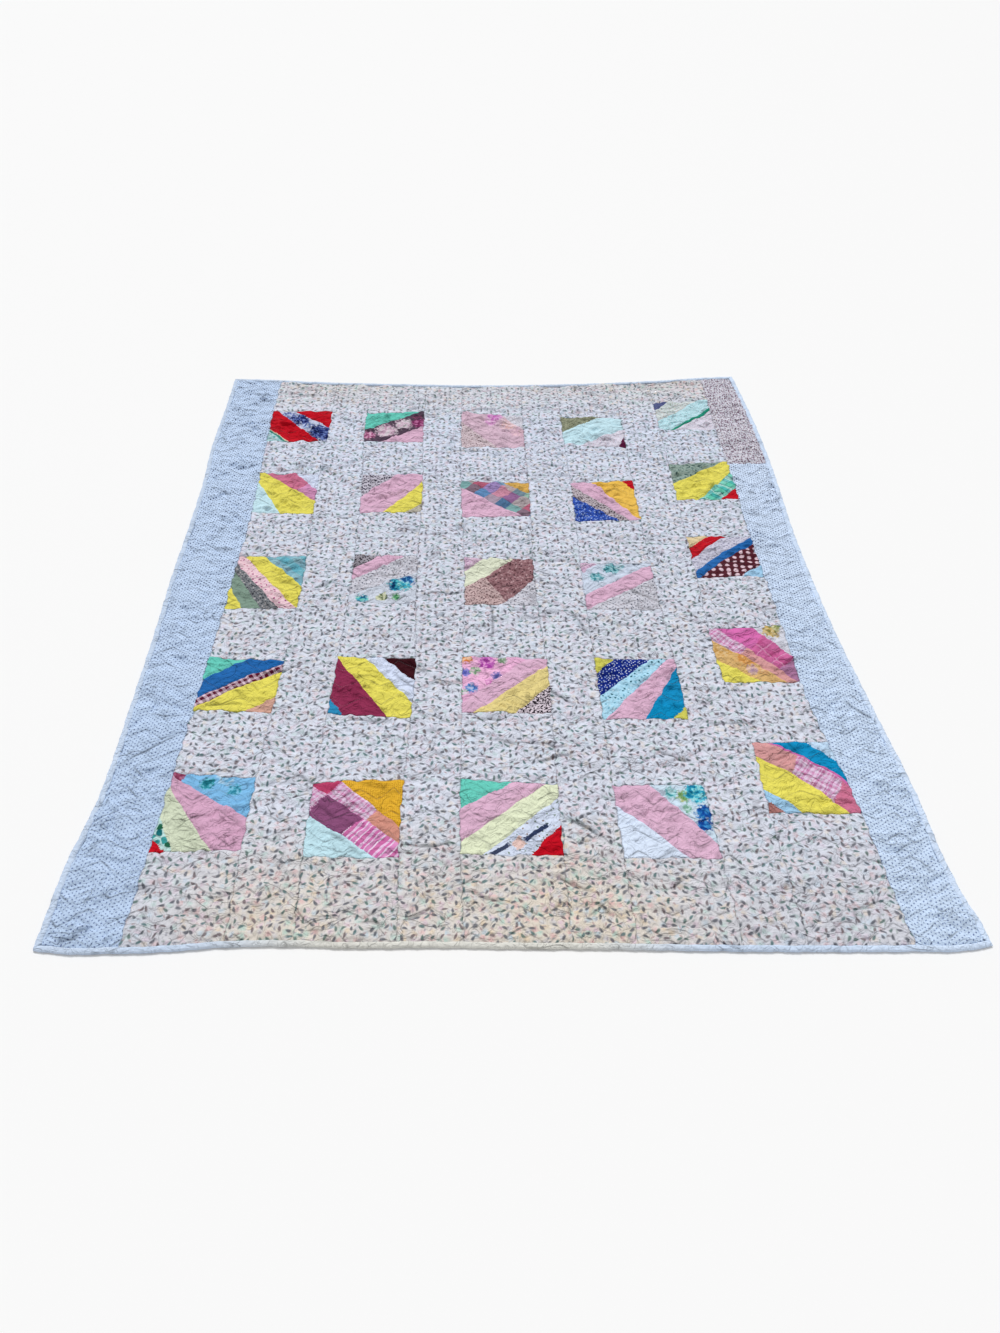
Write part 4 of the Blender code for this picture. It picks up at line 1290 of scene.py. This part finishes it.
def bound_edge(name, node, start, end, along_x, edge, inward):
    """A binding strip along one edge, between two corners of the quilt."""
    length = abs(end - start)
    bm = bmesh.new()
    middle = Matrix.Translation((0.5, 0.5, 0))
    bmesh.ops.create_grid(bm, x_segments=round(length / BINDING_STEP), y_segments=16, size=0.5, matrix=middle)
    mesh, u, v, _ = mesh_of(name, bm)
    fold = ROLL if along_x and inward > 0 else FLAT
    table = [(s, *p) for s, p in zip(np.linspace(0, 1, len(fold)), fold)]
    inset, high = smooth(table, 1, v), smooth(table, 2, v)
    # small slanting pulls, where the bias cloth is drawn round the edge
    at, width = u * length, v * BINDING_FLAT
    uneven = 0.3 * rumple(at / 0.05, np.full(v.shape, 5))
    pull = 0.00042 * np.sin(2 * math.pi * (at / 0.0115 + 1.1 * v + uneven))
    pull += 0.0005 * rumple(at / 0.022, v * 2 + 40)
    pull *= np.sin(math.pi * v) ** 0.5
    inset = inset - 0.4 * pull
    high = np.maximum(high + pull, 0.0007)
    run = start + inset + (end - start - 2 * inset) * u
    line = edge(run) + inward * inset
    x, y = (run, line) if along_x else (line, run)
    mesh.vertices.foreach_set("co", np.stack([x, y, high], 1).ravel())
    loops = read(mesh.loops, "vertex_index", int)
    at, width = at[loops], width[loops]
    bias = math.sqrt(0.5)
    lay_map(mesh, "cloth", (at + width) * bias, (width - at) * bias)
    # the row of stitches that holds it down runs just inside its seam, and shows along the near end alone
    # the same map places the painted shade at its seam and the painted light on its round, along the near end
    # alone
    lay_map(mesh, "rows", at, width if fold is ROLL else np.full(len(loops), 0.010))
    lay_map(mesh, "seams", *np.full((2, len(loops)), NO_SEAM))
    mesh.materials.append(binding_cloth)
    mesh.update()
    if (along_x and inward < 0) or (not along_x and inward > 0):
        mesh.flip_normals()
    binding = placed(name, mesh)
    thick = binding.modifiers.new("cloth", "SOLIDIFY")
    thick.thickness = BINDING_CLOTH
    thick.offset = -1
    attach(binding, "root")
    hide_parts(node)


def corner(side, end):
    """Where one of the two sides meets one of the two ends."""
    x = y = 0.0
    for _ in range(9):
        y = float(across(end, np.array(x)))
        x = float(down(side, np.array(y)))
    return x, y


def binding_ground(cloth, place):
    """Pale blue: yellowed in the middle of the near end, with painted shade at its seam, painted light on the
    outer round of its roll, and lighter down the right side as painted light.
    """
    near, middle = yellowed(place, 0.50)
    ground = mixed(times(near, middle), (200, 216, 238), (221, 220, 213))
    round_edge = axes(add(place.id_data, "UVMap", uv_map="rows").outputs["UV"])["Y"]
    # painted shade where the roll is sewn down
    painted_seam_shade = between(round_edge, 0.0004, 0.0050, 0.42)
    # painted light on the roll's outer round, which turns away from the sun
    wear_and_painted_light = between(round_edge, 0.012, 0.020, 1.0, 1.16)
    # painted light down the right side
    fade_and_painted_light = between(axes(place)["X"], 0.3, 0.8, 1.0, 1.13)
    return shaded(ground, times(times(painted_seam_shade, wear_and_painted_light), fade_and_painted_light))


binding_cloth = printed_look("binding_cloth", binding_ground, folded=0.2)
corners = {(side, end): corner(side, end) for side in (0, 11) for end in (0, 1)}
for side, line, inward in (("left", 0, 1), ("right", 11, -1)):
    ends = corners[line, 0][1], corners[line, 1][1]
    bound_edge(f"binding_{side}_cloth", f"binding_{side}", *ends, False, partial(down, line), inward)
for side, line, inward in (("near", 0, 1), ("far", 1, -1)):
    ends = corners[0, line][0], corners[11, line][0]
    bound_edge(f"binding_{side}_cloth", f"binding_{side}", *ends, True, partial(across, line), inward)

# ---------------------------------------------------------------------------
# The floor it lies on, soft daylight, and the eye at standing height before
# the near edge.
# ---------------------------------------------------------------------------

bm = bmesh.new()
bmesh.ops.create_grid(bm, x_segments=1, y_segments=1, size=20)
mesh = bpy.data.meshes.new("floor")
bm.to_mesh(mesh)
bm.free()
floor = placed("floor", mesh)
pale = bpy.data.materials.new("pale_floor")
pale.use_nodes = True
look = pale.node_tree.nodes["Principled BSDF"].inputs
look["Base Color"].default_value = (0.92, 0.92, 0.92, 1)
look["Roughness"].default_value = 0.9
mesh.materials.append(pale)

world = bpy.data.worlds.new("daylight")
world.use_nodes = True
sky = world.node_tree.nodes["Background"].inputs
sky["Color"].default_value = (1.0, 1.0, 1.0, 1)
sky["Strength"].default_value = 0.50
bpy.context.scene.world = world
sun = placed("window_light", bpy.data.lights.new("window_light", "SUN"))
sun.data.energy = 2.08
sun.data.angle = math.radians(16)
sun.rotation_euler = (math.radians(-36), math.radians(-8), 0)

camera = placed("camera", bpy.data.cameras.new("camera"))
camera.data.lens = 25.23
camera.data.sensor_width = 36
camera.matrix_world = (
    Matrix.Translation((-0.0712, -1.8183, 1.5077))
    @ Matrix.Rotation(math.radians(-2.18), 4, "Z")
    @ Matrix.Rotation(math.radians(-45.14), 4, "X")
    @ Matrix.Rotation(math.radians(-1.43), 4, "Y")
    @ Matrix.Rotation(math.radians(90), 4, "X")
)
bpy.context.scene.camera = camera
bpy.context.scene.view_settings.view_transform = "Standard"
